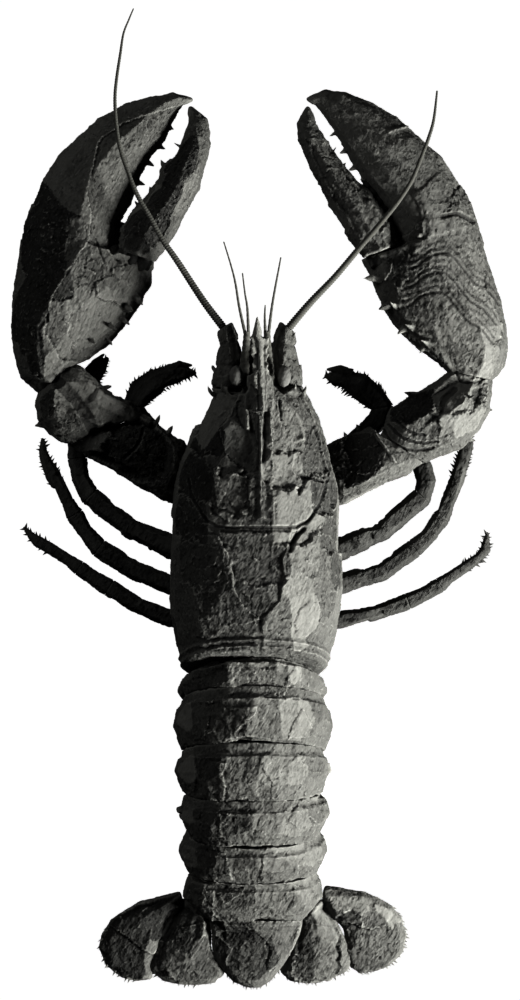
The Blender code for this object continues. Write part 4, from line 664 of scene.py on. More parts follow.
WHIP_STONE = slate("whip_slate", (0.07, 0.07, 0.062), (0.12, 0.12, 0.11))
for node, line in WHIPS.items():
    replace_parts(add_rod(node + "_stone", [line], WHIP_STONE, spacing=1.2 * MM, depth=0.2), node)

# Each pair of feelers: its jointed foot, then the two threads that rise from it.
FEELERS = {
    "antennules_left": [
        [(-5.2, 71.5, 35.5, 2.4), (-4.6, 80, 35.8, 2.2), (-3.9, 90, 36.6, 1.8), (-3.6, 95.8, 37, 1.4)],
        [(-4.2, 94, 37, 0.8), (-7, 106.5, 38.6, 0.6), (-8.7, 117, 39.4, 0.5), (-10.5, 124.5, 39.8, 0.4),
         (-14, 136, 40, 0.3)],
        [(-2.9, 94, 37, 0.8), (-3.4, 106, 38.4, 0.55), (-4.5, 113, 39, 0.4), (-5.6, 122, 39.2, 0.3)],
    ],
    "antennules_right": [
        [(6.9, 71.5, 35.5, 2.4), (6.2, 80, 35.8, 2.2), (5.6, 90, 36.6, 1.8), (5.4, 95.8, 37, 1.4)],
        [(6, 94, 37, 0.8), (7.5, 106, 38.6, 0.6), (9, 115, 39.4, 0.5), (10.5, 123, 39.8, 0.4),
         (11.6, 129, 40, 0.3)],
        [(4.7, 94, 37, 0.8), (4.4, 102, 38, 0.5), (4.6, 107.6, 38.4, 0.3)],
    ],
}
# The stumps on which the stalks stand, in the shield's front notch.
STUMPS = [
    [(-14.5, 78, 20, 5), (-13, 70, 21, 6), (-11, 62, 20, 5)],
    [(16, 78, 20, 5), (15, 70, 21, 6), (13, 62, 20, 5)],
    [(-2, 92, 24, 1.5), (-1.6, 84, 24, 3), (-1, 70, 22, 5)],
    [(6.6, 91, 24, 1.5), (7, 84, 24, 3), (6, 70, 22, 5)],
]
add_rod("stalk_stumps", STUMPS, UNDER_STONE, spacing=9 * MM, depth=0.1)
for node, lines in FEELERS.items():
    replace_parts(add_rod(node + "_stone", lines, WHIP_STONE, spacing=2.6 * MM, depth=0.14), node)


# ---- Claws ------------------------------------------------------------------------------------
# Each claw is a joint at the breast plate, an arm, a wrist, and a heavy palm whose fixed finger
# meets a free, toothed one hinged inside it. Their outer sides are smooth and swept, with broken
# rough plates along the inner side, and rows of thorns.

JOINT_CUT = {"Flake Width": 8 * MM, "Flake Depth": 0.5 * MM}
ARM_CUT = {"Flake Width": 11 * MM, "Flake Depth": 0.9 * MM, "Chip Width": 3.6 * MM}
FINGER_CUT = {"Flake Width": 12 * MM, "Flake Depth": 0.4 * MM, "Chip Width": 3.2 * MM, "Swell": 0.7 * MM,
              "Deepest Cut": 1 * MM}
PALM_CUT = {"Flake Width": 15 * MM, "Flake Depth": 0.4 * MM, "Flake Tilt": 0.05, "Chip Width": 3.4 * MM,
            "Hackle Depth": 0.3 * MM, "Warp": 0.5 * MM, "Swell": 0.6 * MM, "Deepest Cut": 0.8 * MM}
# The left palm's inner part lies one bed below its smooth outer dome, with a ledge left standing.
PALM_BEDS = {
    "left": [
        [(-58.5, 190.2, -0.9), (-63, 187.2, -0.9), (-69.9, 182.3, -0.9), (-71.4, 176.3, -0.9),
         (-72.9, 169.4, -0.9), (-75.4, 159.5, -0.9), (-73.4, 147.6, -0.9), (-74.4, 137.7, -0.9),
         (-79.8, 128.8, -0.9), (-85.8, 119.9, -0.9), (-90.7, 112, -0.9), (-93.7, 102.1, -0.9),
         (-94.2, 95.1, -0.9), (-89.7, 88.2, -0.9), (-87.8, 83.7, -0.9), (-50, 78, -0.9), (-40, 130, -0.9),
         (-40, 160, -0.9), (-28, 200, -0.9)],
        [(-64, 124, -0.1), (-64.5, 121, -0.1), (-68.4, 119.4, -0.1), (-71.4, 118, -0.1), (-71.4, 112, -0.1),
         (-68, 110.5, -0.1), (-63, 109.5, -0.1), (-57, 104, -0.1), (-50, 110, -0.1), (-46, 120, -0.1),
         (-46, 126, -0.1), (-52, 127, -0.1), (-58, 126, -0.1)],
    ],
    "right": [
        [(85.1, 169.9, 0.1), (80.1, 165.4, 0.4), (77.1, 161.5, 0.5), (71.2, 157.5, 0.6), (74.2, 151.6, 0.5),
         (75.2, 143.6, 0.5), (76.1, 137.7, 0.4), (84, 140, 0.1), (92, 146, 0), (93, 158, 0)],
        [(55, 118, 0.2), (59.3, 119.4, 0.7), (61.8, 122.9, 0.8), (62.3, 126.8, 0.7), (56, 128, 0.2)],
    ],
}
# The bending lines that ripple down the right palm, as a first line and its step to the next.
RIPPLE = [
    (70, 130), (73.3, 130.9), (79.6, 135.5), (87.6, 136.6), (93.4, 130.9), (99.1, 124), (104.8, 120.6),
    (110.6, 113.7),
]
RIPPLE_STEP = (-0.5, -2.9)
# The palms' and fingers' flakes, whose tones paint light and shade: painted shade makes the outer domes
# black, and painted light makes the stone paler inside and towards the wrist.
PALM_FLAKES = {
    "left": [
        (-98, 118, 0.3, -40, 0, 0), (-102, 95, 0.3, -40, -4, 0), (-92, 140, 0.3, -36, 0, 0),
        (-88, 160, 0.3, -36, 10, 0), (-78, 178, 0.3, -30, 16, 0), (-62, 192, 0.3, -20, 20, 0),
        (-84, 130, 0.2, -20, 0, 0), (-94, 82, 0.3, -20, -10, 0.05), (-70, 150, 0.3, 16, 4, 0.27),
        (-62, 172, 0.3, 16, 8, 0.27), (-46, 190, 0.3, 24, 4, 0.54), (-60, 184, 0.2, -16, 10, 0),
        (-76, 118, 0.3, 10, 0, 0.68), (-62, 112, 0.3, 16, 0, 0.95), (-80, 98, 0.3, 16, -4, 0.82),
        (-66, 96, 0.3, 20, -6, 0.95), (-84, 86, 0.3, 16, -14, 0.95), (-66, 134, 0.3, 10, 0, 0.54),
        (-80, 165, 0.3, -16, 10, 0), (-84, 150, 0.3, -20, 6, 0), (-72, 172, 0.3, -14, 14, 0),
        (-94, 150, 0.3, -50, 10, 0), (-90, 172, 0.3, -50, 20, 0), (-72, 190, 0.3, -24, 36, 0),
        (-84, 180, 0.3, -40, 30, 0), (-106, 110, 0.3, -60, 0, 0),
    ],
    "right": [
        (40, 200, 0.3, -10, 20, 0.3), (56, 190, 0.3, 4, 16, 0.4), (66, 176, 0.3, -8, 6, 0.3),
        (78, 168, 0.3, 10, 10, 0.5), (60, 172, 0.3, -24, 0, 0.05), (86, 150, 0.3, 14, 4, 0.6),
        (96, 138, 0.3, 24, 2, 0.75), (78, 130, 0.2, -6, 0, 0.4), (90, 118, 0.3, 8, 0, 0.82),
        (104, 112, 0.3, 30, -4, 0.9), (66, 118, 0.3, -24, 0, 0.15), (78, 102, 0.3, -14, -6, 0.5),
        (92, 98, 0.3, 8, -8, 1), (104, 94, 0.3, 30, -8, 0.9), (98, 82, 0.3, 16, -20, 1),
        (84, 90, 0.3, -6, -16, 0.95), (84, 104, 0.3, 0, -4, 0.82), (98, 104, 0.3, 20, -6, 0.95),
        (90, 88, 0.3, 0, -14, 0.95), (76, 112, 0.3, -10, 0, 0.4), (98, 120, 0.3, 22, 0, 0.8),
        (88, 128, 0.3, 4, 2, 0.68),
    ],
}
FINGER_FLAKES = {
    "left": [
        (-54, 144, 0.3, -14, 0, 0.15), (-46, 156, 0.3, -16, 0, 0.1), (-38, 168, 0.3, -16, 2, 0.1),
        (-30, 182, 0.3, -16, 8, 0.1), (-44, 137, 0.3, 16, -4, 0.7), (-34, 152, 0.3, 28, 0, 0.8),
        (-27, 168, 0.3, 30, 0, 0.8), (-23, 182, 0.3, 24, 8, 0.6),
    ],
    "right": [
        (46, 148, 0.3, -30, 0, 0.05), (34, 165, 0.3, -30, 0, 0), (24, 182, 0.3, -24, 4, 0),
        (56, 142, 0.3, -4, 0, 0.5), (48, 155, 0.3, 4, 0, 0.6), (38, 168, 0.3, 8, 2, 0.5),
        (30, 180, 0.3, 10, 6, 0.5),
    ],
}
# The socket of the hinge, a pit and a scratch on the left, and two scratches on the right, which the
# ripples join.
PALM_LINES = {
    "left": [
        ([(-63.4, 132.2), (-63.4, 133.2)], 2, 1.5), ([(-71.4, 137.7), (-67.5, 126.8)], 0.6, 0.6),
        ([(-55.6, 127.8), (-53.1, 130.3), (-49.1, 129.8), (-47, 127.8)], 0.8, 0.9),
    ],
    "right": [
        ([(84.1, 147.6), (91, 148.6), (97.9, 145.6)], 1.4, 0.9),
        ([(60.3, 185.7), (68.2, 188.2)], 0.9, -0.6),
    ],
}
PALM_LINES["right"] += [
    ([(x + RIPPLE_STEP[0] * i, y + RIPPLE_STEP[1] * i) for x, y in RIPPLE], 1.0, 0.16 + 0.1 * (i % 3))
    for i in range(9)]
# The wrists' hollow, swollen ridge and rims, which curl round to the joint with the arm.
WRIST_LINES = {
    "left": [
        ([(-91.6, 76), (-84, 69), (-79.7, 64), (-75, 57), (-72.5, 50)], 3.6, 1.5),
        ([(-80, 78), (-74.3, 72), (-69.9, 66), (-60, 60.5), (-53.5, 56)], 4, -1.4),
        ([(-84, 45.2), (-76, 43.6), (-67.8, 44.1), (-56.9, 48.4), (-51.2, 54)], 0.9, 1.3),
        ([(-84, 47.4), (-76, 45.9), (-67.8, 46.4), (-58, 50.4), (-52.5, 55.6)], 1, -0.7),
        ([(-67, 54), (-64.5, 51), (-63, 47.5), (-66, 46.5)], 0.8, 1),
    ],
    "right": [
        ([(57.5, 52), (62, 46), (70, 42.5), (80, 43.6)], 1, 1.1),
        ([(60, 54), (66, 48.6), (74, 46), (82, 46.5)], 0.9, 0.8),
        ([(64, 55.5), (69, 51), (76, 49.3)], 0.9, 0.7), ([(99.9, 66.8), (99.9, 68.2)], 3.4, 0.9),
        ([(79, 57), (83, 60), (85, 65), (90, 70)], 2, 0.9), ([(90, 78), (94, 73), (103, 74.5)], 0.8, 0.9),
    ],
}
# The wrists' flakes: knuckles painted pale as painted light, between hollows painted dark as painted shade.
WRIST_FLAKES = {
    "left": [
        (-58, 57, 0.5, 24, 0, 0.95), (-74, 60, 0.4, -8, -8, 0.54), (-70, 68, 0.4, 14, 8, 0.95),
        (-84, 73, 0.4, 10, 6, 0.95), (-86, 60, 0.6, -14, -6, 0.4), (-92, 66, 0.8, -36, 6, 0.1),
    ],
    "right": [
        (68, 68, 0.8, -20, 20, 0), (90, 76, 0.3, 8, 2, 0.9), (91, 60, 0.5, 14, -14, 0.9),
        (80, 52, 0.5, 6, -18, 0.9), (69, 51, 0.5, -4, -10, 0.5), (102, 65, 0.5, 34, -6, 0.8),
        (98, 52, 0.5, 30, -24, 0.9),
    ],
}
# The arms' flakes: ones that turn from the lamp, painted dark as painted shade, and the rim round each
# wrist.
ARM_FLAKES = {
    "left": [(-58, 42, 0.8, -6, 0, 0.7), (-48, 40, 1.2, -20, 8, 0.1), (-38, 38, 1.2, -24, 8, 0.05)],
    "right": [
        (44, 42, 1.2, -24, 14, 0.05), (53, 45, 1.2, -24, 14, 0.1), (50, 37, 1.2, -20, 8, 0.1),
        (58, 34, 1, 16, -30, 0.6),
    ],
}
ARM_LINES = {
    "left": [([(-59.1, 39.1), (-55, 42.5), (-51.5, 47), (-50.4, 52.1)], 0.9, 1.2)],
    "right": [([(54.1, 49.5), (58.5, 43.5), (63, 37.5)], 0.9, -0.9)],
}
CLAW_STONE = slate("claw_slate")
for turn, side in enumerate(SIDES):
    cut_stone("claw_joint_" + side, UNDER_STONE, 0.6 * MM, JOINT_CUT, seed=21 + turn)
    cut_stone("claw_arm_" + side, CLAW_STONE, 0.55 * MM, ARM_CUT, ARM_FLAKES[side],
              ARM_LINES[side], seed=23 + turn)
    cut_stone("claw_wrist_" + side, CLAW_STONE, 0.5 * MM, ARM_CUT, WRIST_FLAKES[side],
              WRIST_LINES[side], seed=25 + turn)
    cut_stone("claw_palm_" + side, CLAW_STONE, 0.6 * MM, PALM_CUT, PALM_FLAKES[side],
              PALM_LINES[side], PALM_BEDS[side], seed=27 + turn)
    cut_stone("claw_finger_" + side, CLAW_STONE, 0.5 * MM, FINGER_CUT, FINGER_FLAKES[side],
              seed=29 + turn)

# The hinge of each free finger, and the grinding teeth that close the back of each gap, as x, y, z
# and radius.
TEETH = {
    "claw_hinge_right": [(71, 134, 19, 3), (64, 131.6, 20, 5), (56, 128.4, 20, 5), (52, 126.8, 19, 3)],
    "claw_hinge_left": [(-66, 132.4, 19, 3), (-60, 130.4, 20, 5), (-52, 127.6, 20, 5), (-47.5, 126, 19, 3)],
    "claw_teeth_right": [
        (66.5, 137, 14, 3.4), (62, 145, 14, 3.4), (57, 153, 14, 3), (52.5, 160, 13.5, 2.4),
        (48.8, 165, 13, 1.6),
    ],
    "claw_teeth_left": [(-66, 139, 14, 3), (-63, 145, 14, 2.6), (-60.5, 149, 13.5, 1.6)],
}
for name, line in TEETH.items():
    add_rod(name, [line], CLAW_STONE, spacing=4.6 * MM, depth=0.3)


# ---- Walking legs -----------------------------------------------------------------------------
# Four pairs of jointed legs, each in three pieces. The first pair ends in hands fringed with
# bristles, and the others in blunt, bristly tips that rest near the floor.

LEG_CUT = {"Flake Width": 6 * MM, "Flake Depth": 0.45 * MM, "Chip Width": 2.6 * MM, "Chip Depth": 0.25 * MM,
           "Hackle Depth": 0.4 * MM, "Warp": 0.6 * MM}
LEG_STONE = slate("leg_slate", (0.02, 0.02, 0.0185), (0.07, 0.07, 0.0645))
for leg in range(1, 5):
    for side in SIDES:
        for turn, stretch in enumerate(("upper", "middle", "lower")):
            node = f"leg_{leg}_{side}_{stretch}"
            cut_stone(node, LEG_STONE, 0.45 * MM, LEG_CUT, seed=31 + 7 * leg + turn)

BRISTLE_INPUTS = [("Spacing", "Float", 1.5 * MM), ("Length", "Float", 2.6 * MM),
                  ("Thickness", "Float", 0.7 * MM), ("Spread", "Float", 0.4), ("Seed", "Int", 1),
                  ("Stone", "Material", None)]


def bristle_tree():
    """Lines whose points know which way to aim become rows of small, uneven cones."""
    tree, given = new_tree("bristles", BRISTLE_INPUTS)
    lines = tree.lay("MeshToCurve", Mesh=given["Geometry"])
    feet = tree.lay("CurveToPoints", Curve=lines, Length=given["Spacing"], mode="LENGTH")
    sway = tree.chance((-1.0, -1.0, -0.4), (1.0, 1.0, 0.6), given["Seed"])
    aim = tree.kept("aim", "FLOAT_VECTOR") + sway * given["Spread"]
    turned = tree.lay("AlignRotationToVector", Vector=aim, axis="Z")
    cone = tree.lay("MeshCone", Vertices=6, Radius_Top=0.0, Radius_Bottom=given["Thickness"],
                    Depth=given["Length"])["Mesh"]
    cone = tree.keep(tree.keep(cone, "tone", 0.8), "coarse", 0.4)
    rows = tree.lay("InstanceOnPoints", Points=feet, Instance=cone, Rotation=turned,
                    Scale=tree.chance(0.5, 1.2, given["Seed"]))
    return tree.finish(rows, given["Stone"])


BRISTLING = bristle_tree()


def add_bristles(name, rows, material, length, seed):
    """Rows of bristles, each a list of (foot, aim) with feet in millimetres, as one object."""
    mesh = points_mesh(name, [foot * MM for row in rows for foot, _ in row], chain_edges(rows),
                       aim=[aim for row in rows for _, aim in row])
    piece = add_object(name, mesh)
    work(piece, BRISTLING, {"Length": length, "Seed": seed, "Stone": material})


def both_sides(stations):
    """Rows along the two sides of a limb, which aim outwards and a little ahead."""
    rows = ([], [])
    for i, (x, y, z, half) in enumerate(stations):
        before = Vector(stations[max(i - 1, 0)][:2])
        after = Vector(stations[min(i + 1, len(stations) - 1)][:2])
        ahead = (after - before).to_3d().normalized()
        side = Vector((-ahead.y, ahead.x, 0))
        for row, way in zip(rows, (side, -side)):
            row.append((Vector((x, y, z)) + way * (half - 0.6), way + ahead * 0.6 + Vector((0, 0, 0.15))))
    return rows


# The ends of the legs as x, y, z and half width.
LEG_ENDS = {
    "leg_1_left": [
        (-53.5, 66, 6.5, 5.4), (-51.5, 69, 6.5, 5.6), (-44.5, 74, 6.5, 5.6), (-37, 77, 6.3, 4.4),
        (-32, 77.4, 5.5, 3), (-27.5, 77.6, 4.5, 1),
    ],
    "leg_1_right": [
        (55.5, 65, 6.5, 5.3), (53, 67.6, 6.5, 5.6), (47.5, 71.4, 6.5, 5.8), (41.5, 74.2, 6.3, 4.6),
        (36.5, 75.2, 5.5, 3.2), (32.3, 76.4, 4.5, 1),
    ],
    "leg_2_left": [
        (-80, 53, 5.5, 3.6), (-78.6, 64, 5.4, 3.8), (-74.5, 74, 5.4, 4), (-71, 79.5, 5, 3.4),
        (-67.2, 83.7, 4, 1),
    ],
    "leg_2_right": [
        (73.4, 46, 5.5, 3.6), (73.4, 52, 5.3, 3.6), (74, 59, 5.1, 3.6), (75.6, 64, 4.8, 2.8),
        (77.6, 67.8, 3.8, 1),
    ],
    "leg_3_left": [
        (-89.5, 28.4, 6.8, 2.9), (-94.6, 38.4, 4, 2.3), (-95.8, 42.6, 3, 1.8), (-96, 47.4, 2, 0.9),
    ],
    "leg_3_right": [(91.2, 30, 6.4, 3.4), (94.6, 41, 4.8, 3), (96.4, 46, 3.8, 2), (96.6, 51.2, 2.6, 0.9)],
    "leg_4_left": [
        (-93, -1.6, 5.6, 2.3), (-98.4, 1.8, 3.5, 2.1), (-100.8, 3.8, 2.7, 1.5), (-104, 7.3, 1.8, 0.8),
    ],
    "leg_4_right": [
        (95, -9.8, 5.6, 2.4), (101.2, -5.8, 3.5, 2.3), (104.2, -2.4, 2.7, 2), (105, 4.8, 1.8, 0.9),
    ],
}
for turn, (name, stations) in enumerate(LEG_ENDS.items()):
    add_bristles(name + "_bristles", both_sides(stations), LEG_STONE, 2.4 * MM, seed=41 + turn)


# ---- Tail -------------------------------------------------------------------------------------
# Six arched rings, each lapping over the next so that the tail could curl, now one slab of slate
# apiece, split from rim to rim into upright facets with broken edges.

RING_CUT = {"Flake Width": 13 * MM, "Flake Depth": 0.8 * MM, "Chip Width": 3.8 * MM, "Warp": 0.7 * MM}
# Each ring's flakes, as for the shield, with tones that are painted light and shade.
RING_FACETS = {
    "tail_segment_1": [
        (-22, -60, 1.4, -34, 4, 0.3), (-6, -58, 1, -6, 4, 0.4), (7, -56, 1, 10, 6, 0.6),
        (6, -63, 0.8, 6, -12, 0.5), (18, -59, 1.4, 27, -4, 1), (28, -62, 1.2, 54, -6, 0.5),
    ],
    "tail_segment_2": [
        (-33, -80, 1.2, -58, -4, 1), (-23, -80, 1.4, -34, 2, 0.4), (-12, -82, 1, -15, -6, 0.3),
        (-5, -74, 0.9, -10, 10, 0.35), (7, -82, 1.1, 10, -8, 0.6), (10, -75, 1, 14, 8, 0.6),
        (20, -82, 1.6, 28, -6, 0.85), (29, -78, 1.4, 54, 6, 0.35),
    ],
    "tail_segment_3": [
        (-32, -104, 1.2, -58, -6, 1), (-21, -102, 1.5, -32, 4, 0.25), (-7, -103, 1.2, -7, -3, 0.5),
        (-3, -97, 1, -3, 10, 0.4), (8, -104, 1.3, 13, -8, 0.8), (14, -98, 1.2, 20, 8, 0.7),
        (20, -104, 1.5, 30, -6, 0.8), (29, -101, 1.4, 54, 4, 0.4),
    ],
    "tail_segment_4": [
        (-32, -123, 1.2, -58, -2, 0.9), (-20, -124, 1.5, -32, 2, 0.25), (-8, -127, 1.3, -12, -10, 0.2),
        (-6, -119, 1, -8, 8, 0.3), (8, -126, 1.3, 12, -8, 0.6), (17, -120, 1.3, 24, 8, 0.9),
        (20, -127, 1.5, 28, -12, 0.75), (30, -123, 1.4, 54, 4, 0.4),
    ],
    "tail_segment_5": [
        (-31, -143, 1.2, -56, -6, 0.8), (-20, -142, 1.4, -30, 2, 0.25), (-7, -143, 1.2, -8, -4, 0.45),
        (9, -144, 1.2, 12, -8, 0.7), (16, -138, 1.2, 22, 8, 0.85), (27, -142, 1.4, 48, 2, 0.7),
    ],
    "tail_segment_6": [
        (-25, -160, 1.2, -42, -4, 0.35), (-9, -161, 1, -10, -6, 0.4), (-4, -153, 0.8, -4, 8, 0.45),
        (9, -161, 1, 9, -6, 0.6), (14, -155, 1, 20, 6, 0.7), (23, -159, 1.2, 38, -2, 0.6),
    ],
}
# Facets that stand up along one edge, as for the shield: the dark left ones face away from the lamp.
RING_BEDS = {
    "tail_segment_1": [
        [(-8.9, -54, 0.6), (-9.8, -58, 0.6), (-8.4, -63, 0.6), (-20, -63, 0), (-20, -55, 0)],
        [(18, -54, 0.5), (15, -58, 0.5), (13, -63, 0.5), (26, -63, 0)],
    ],
    "tail_segment_2": [
        [(1.6, -72.4, 0.9), (0, -75.4, 0.9), (-4.9, -79.4, 0.9), (-8.4, -83.8, 0.9), (-7.9, -87.3, 0.7),
         (-22.3, -87.3, 0), (-19.4, -72.4, 0)],
        [(-19.4, -72.4, 0.5), (-20.6, -80, 0.6), (-22.3, -87.3, 0.5), (-31, -86, 0), (-30, -73, 0)],
        [(21, -72.9, 0.6), (17, -79.4, 0.6), (15, -86.8, 0.6), (28, -85.3, 0)],
    ],
    "tail_segment_3": [
        [(-12.4, -97.3, 0.9), (-13.9, -102.3, 0.9), (-12.9, -108.2, 0.9), (-13.9, -114, 0.7),
         (-25, -113, 0), (-26.5, -96, 0)],
        [(-26.8, -94, 0.5), (-26.3, -105, 0.6), (-27, -112, 0.4), (-33, -108, 0), (-33, -96, 0)],
        [(2.5, -95.3, 0.4), (4, -101.3, 0.5), (8, -106, 0.5), (7, -113, 0.5), (22, -112, 0), (24, -96, 0)],
    ],
    "tail_segment_4": [
        [(-10.9, -120.2, 0.8), (-14.9, -125.2, 0.9), (-13.9, -131, 0.7), (-24, -131, 0), (-25, -119, 0)],
        [(3, -121, -0.2), (0, -129.2, -0.5), (-0.4, -134, -0.4), (-12, -132, 0), (-11, -122, 0)],
        [(21, -114.2, 0.6), (17, -119.2, 0.6), (15, -124, 0.6), (22, -129, 0), (29, -118, 0)],
    ],
    "tail_segment_5": [
        [(-12.9, -138.1, 0.8), (-10.9, -144.1, 0.8), (-9.9, -150.1, 0.7), (-24, -149, 0), (-25, -138, 0)],
        [(3, -139.1, 0.6), (3.5, -145.1, 0.6), (1.1, -151.1, 0.5), (17, -150, 0), (19, -138, 0)],
    ],
    "tail_segment_6": [
        [(-17.9, -155, 0.6), (-18.4, -164, 0.6), (-18.9, -169, 0.5), (-27, -168, 0), (-28, -156, 0)],
        [(-3.9, -154, 0.5), (-8, -158, 0.7), (-13.9, -162, 0.6), (-17, -163, 0), (-17, -155, 0)],
        [(17, -153, 0.5), (18, -159, 0.5), (13, -166, 0.5), (24, -166, 0), (27, -156, 0)],
    ],
}
TAIL_STONE = slate("tail_slate")
for turn, (node, marks) in enumerate(RING_FACETS.items()):
    cut_stone(node, TAIL_STONE, 0.55 * MM, RING_CUT, marks, None, RING_BEDS[node],
              seed=71 + turn)


# ---- Tail fan ---------------------------------------------------------------------------------
# A middle blade and two side blades on each hand, split into rough flakes, with a bristly hem.

FAN_CUT = {"Flake Width": 12 * MM, "Flake Depth": 0.7 * MM, "Chip Width": 3.2 * MM, "Chip Depth": 0.25 * MM,
           "Hackle Depth": 0.3 * MM, "Swell": 1.2 * MM, "Warp": 0.4 * MM}
FAN_STONE = slate("fan_slate")
# Each blade's flakes, as for the shield, with tones that are painted light and shade: the left blades slope
# away to the left and are painted dark, and the right ones up, painted paler.
FAN_FLAKES = {
    "telson": [
        (-9, -176, 0.8, -14, 4, 0.1), (8, -178, 0.9, 10, 4, 0.4), (-6, -188, 1, -12, -10, 0.05),
        (5, -190, 0.8, 2, -10, 0.1), (0, -170, 0.3, -2, 6, 0.3), (11, -186, 1, 18, -6, 0.4),
    ],
    "uropod_inner_left": [
        (-25, -172, 0.8, -20, 2, 0.05), (-32, -178, 1, -16, -6, 0.1), (-26, -186, 0.8, -6, -12, 0.4),
        (-38, -188, 1, -20, -8, 0), (-20, -190, 0.8, 8, -8, 0.3),
    ],
    "uropod_outer_left": [
        (-42, -168, 0.8, -18, 6, 0), (-54, -172, 1, -20, 2, 0), (-62, -182, 1, -24, -6, 0),
        (-52, -186, 0.9, -14, -10, 0), (-46, -178, 0.3, 25, 0, 0),
    ],
    "uropod_inner_right": [
        (24, -174, 0.8, 14, 4, 0.7), (32, -176, 0.9, -10, 0, 0.2), (22, -187, 0.8, 8, -10, 0.5),
        (34, -188, 1, -8, -10, 0.2), (28, -182, 0.8, 4, -4, 0.5),
    ],
    "uropod_outer_right": [
        (40, -163, 0.8, 10, 8, 0.8), (52, -165, 0.4, 14, 2, 1), (62, -176, 0.9, 4, -6, 0.4),
        (48, -180, 1, -10, -6, 0.2), (58, -184, 0.9, 2, -12, 0.3),
    ],
}
# The blades' ridges and ledges, as facets that stand up along them.
FAN_BEDS = {
    "telson": [
        [(-3.4, -172, 0.5), (5, -178, 0.8), (7, -183, 0.8), (5, -189, 0.8), (6, -192, 0.6), (14, -186, 0),
         (17, -172, 0)],
        [(-17.9, -172, 0.4), (-9.9, -182, 0.8), (-11.9, -189, 0.7), (-16, -186, 0)],
    ],
    "uropod_inner_left": [
        [(-24, -170, 1), (-24.3, -178, 1), (-31.8, -191, 1), (-34, -197, 0.8), (-45, -190, 0),
         (-36, -174, 0)],
        [(-24, -170, 1), (-24.3, -178, 1), (-31.8, -191, 1), (-34, -197, 0.8), (-16, -195, 0),
         (-20, -172, 0)],
    ],
    "uropod_outer_left": [
        [(-64.6, -172.2, 1), (-56, -178.5, 1), (-47.5, -184.8, 1), (-40, -176, 0), (-44, -168, 0),
         (-58, -166, 0.2)],
    ],
    "uropod_inner_right": [
        [(22, -169, 1), (26, -179, 1), (27, -188, 1), (33, -196, 0.8), (14, -193, 0), (18, -172, 0)],
        [(22, -169, 1), (26, -179, 1), (27, -188, 1), (33, -196, 0.8), (41, -188, 0), (36, -174, 0)],
    ],
    "uropod_outer_right": [
        [(30, -166, 0.5), (42, -170, 0.9), (52, -174, 0.9), (58, -172, 0.7), (62, -166, 0), (52, -158, 0),
         (40, -156, 0)],
    ],
}
for turn, (node, marks) in enumerate(FAN_FLAKES.items()):
    cut_stone(node, FAN_STONE, 0.5 * MM, FAN_CUT, marks, None, FAN_BEDS[node], seed=81 + turn)

# The rear hem of each blade as x, y and z; its bristles fan out from the tail's root.
HEMS = {
    "telson": [
        (-16.4, -187, 4), (-13.4, -192, 3), (-9.4, -196.6, 2), (-3, -199, 2), (2, -199, 2), (6, -196.4, 2),
        (10.4, -191.5, 3), (13.6, -187, 4),
    ],
    "uropod_inner_left": [
        (-46.4, -188, 3), (-46.8, -191.8, 3), (-41, -196.2, 2), (-33, -198, 2), (-27, -198.4, 2),
        (-18.6, -197, 2), (-14.6, -193.4, 3),
    ],
    "uropod_outer_left": [
        (-64.4, -170.2, 4), (-68.2, -176.5, 4), (-69.4, -182, 3), (-66.6, -189.4, 3), (-60, -194.8, 2),
        (-53, -196.4, 2), (-47.4, -195.4, 2),
    ],
    "uropod_inner_right": [
        (42.8, -188.2, 3), (41.6, -191.8, 3), (34.4, -195.4, 2), (28, -197.2, 2), (22.4, -197.4, 2),
        (16.4, -196.2, 2), (12, -192.4, 3),
    ],
    "uropod_outer_right": [
        (61.6, -164, 4), (65.8, -169.2, 4), (67.8, -176.5, 3), (66, -184, 3), (60, -189.8, 2),
        (54, -192, 2), (47, -192.8, 2),
    ],
}
TAIL_ROOT = Vector((0, -140, 0))
for turn, (name, hem) in enumerate(HEMS.items()):
    row = [(Vector(p), (Vector((p[0], p[1], 0)) - TAIL_ROOT).normalized()) for p in hem]
    add_bristles(name + "_bristles", [row], FAN_STONE, 2.6 * MM, seed=61 + turn)


# ---- Floor, lights and camera -----------------------------------------------------------------
# The fossil lies on a pale floor that glows by itself. One soft lamp stands low on its right side, a
# little behind it, so flakes that face it are bright and the far side falls dark, with a weak lamp
# high on the left ahead to lift the shadows. The camera looks straight down.

NEAR_WHITE = (0.86, 0.86, 0.85)
FLOOR_REACH = 6.0
LAMP_TURN = math.radians(-28)
LAMP_HEIGHT = math.radians(20)
LAMP_DISTANCE = 0.9
CAMERA_AIM = Vector((2.25, 20.25, 22)) * MM
CAMERA_HEIGHT = 4.0
VIEW_LENGTH = 450 * MM
SENSOR = 36

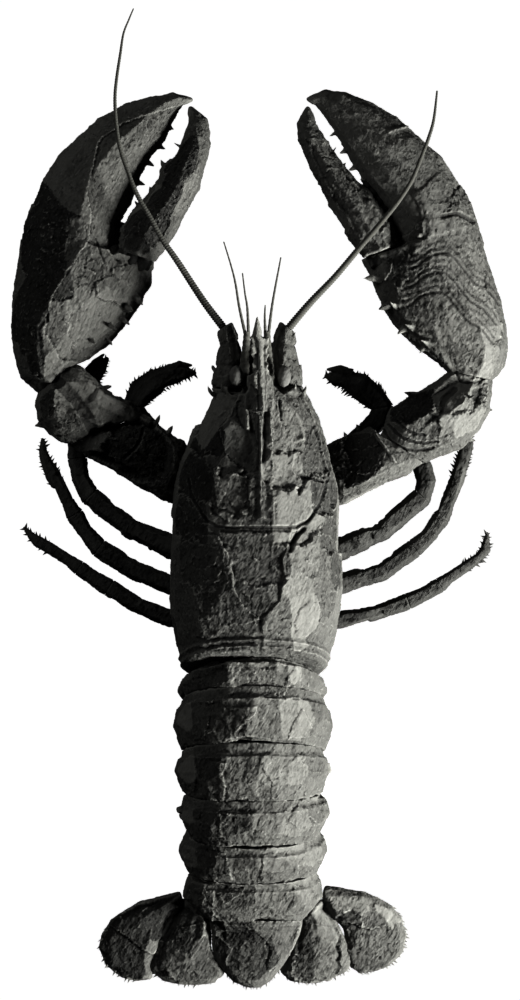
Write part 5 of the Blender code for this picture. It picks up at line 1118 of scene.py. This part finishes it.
corners = [(x * FLOOR_REACH, y * FLOOR_REACH, 0) for x, y in ((-1, -1), (1, -1), (1, 1), (-1, 1))]
floor = add_object("floor", points_mesh("floor", corners, (), [(0, 1, 2, 3)]))
floor.location.z = -0.2 * MM
paper = bpy.data.materials.new("paper")
paper.use_nodes = True
paper_shader = paper.node_tree.nodes["Principled BSDF"]
paper_shader.inputs["Base Color"].default_value = (*NEAR_WHITE, 1)
paper_shader.inputs["Roughness"].default_value = 0.9
paper_shader.inputs["Emission Color"].default_value = (1, 1, 1, 1)
paper_shader.inputs["Emission Strength"].default_value = 1.0
floor.data.materials.append(paper)
floor.visible_diffuse = False
floor.visible_glossy = False


def add_lamp(name, place, size, power):
    """A square soft lamp that faces the middle of the object. It lights all but the floor, which glows
    by itself."""
    light = bpy.data.lights.new(name, "AREA")
    light.size = size
    light.energy = power
    lamp = add_object(name, light)
    lamp.location = place
    lamp.rotation_euler = (CAMERA_AIM - Vector(place)).to_track_quat("-Z", "Y").to_euler()
    linked = bpy.data.collections.new(name + "_lit")
    linked.objects.link(floor)
    lamp.light_linking.receiver_collection = linked
    linked.collection_objects[0].light_linking.link_state = "EXCLUDE"


lamp_side = Vector((math.cos(LAMP_TURN) * math.cos(LAMP_HEIGHT), math.sin(LAMP_TURN) * math.cos(LAMP_HEIGHT),
                    math.sin(LAMP_HEIGHT)))
add_lamp("side_lamp", CAMERA_AIM + lamp_side * LAMP_DISTANCE, size=0.22, power=44)
add_lamp("fill_lamp", (-1.1, 0.9, 0.75), size=0.5, power=9)

world = bpy.data.worlds.new("room")
world.use_nodes = True
world.node_tree.nodes["Background"].inputs["Color"].default_value = (0.03, 0.03, 0.03, 1)
scene = bpy.context.scene
scene.world = world

camera_data = bpy.data.cameras.new("camera")
camera_data.sensor_width = SENSOR
camera_data.lens = SENSOR * CAMERA_HEIGHT / VIEW_LENGTH
camera_data.clip_end = 20
camera = add_object("camera", camera_data)
camera.location = CAMERA_AIM + Vector((0, 0, CAMERA_HEIGHT))
scene.camera = camera
scene.view_settings.view_transform = "Standard"
scene.view_settings.gamma = 0.72
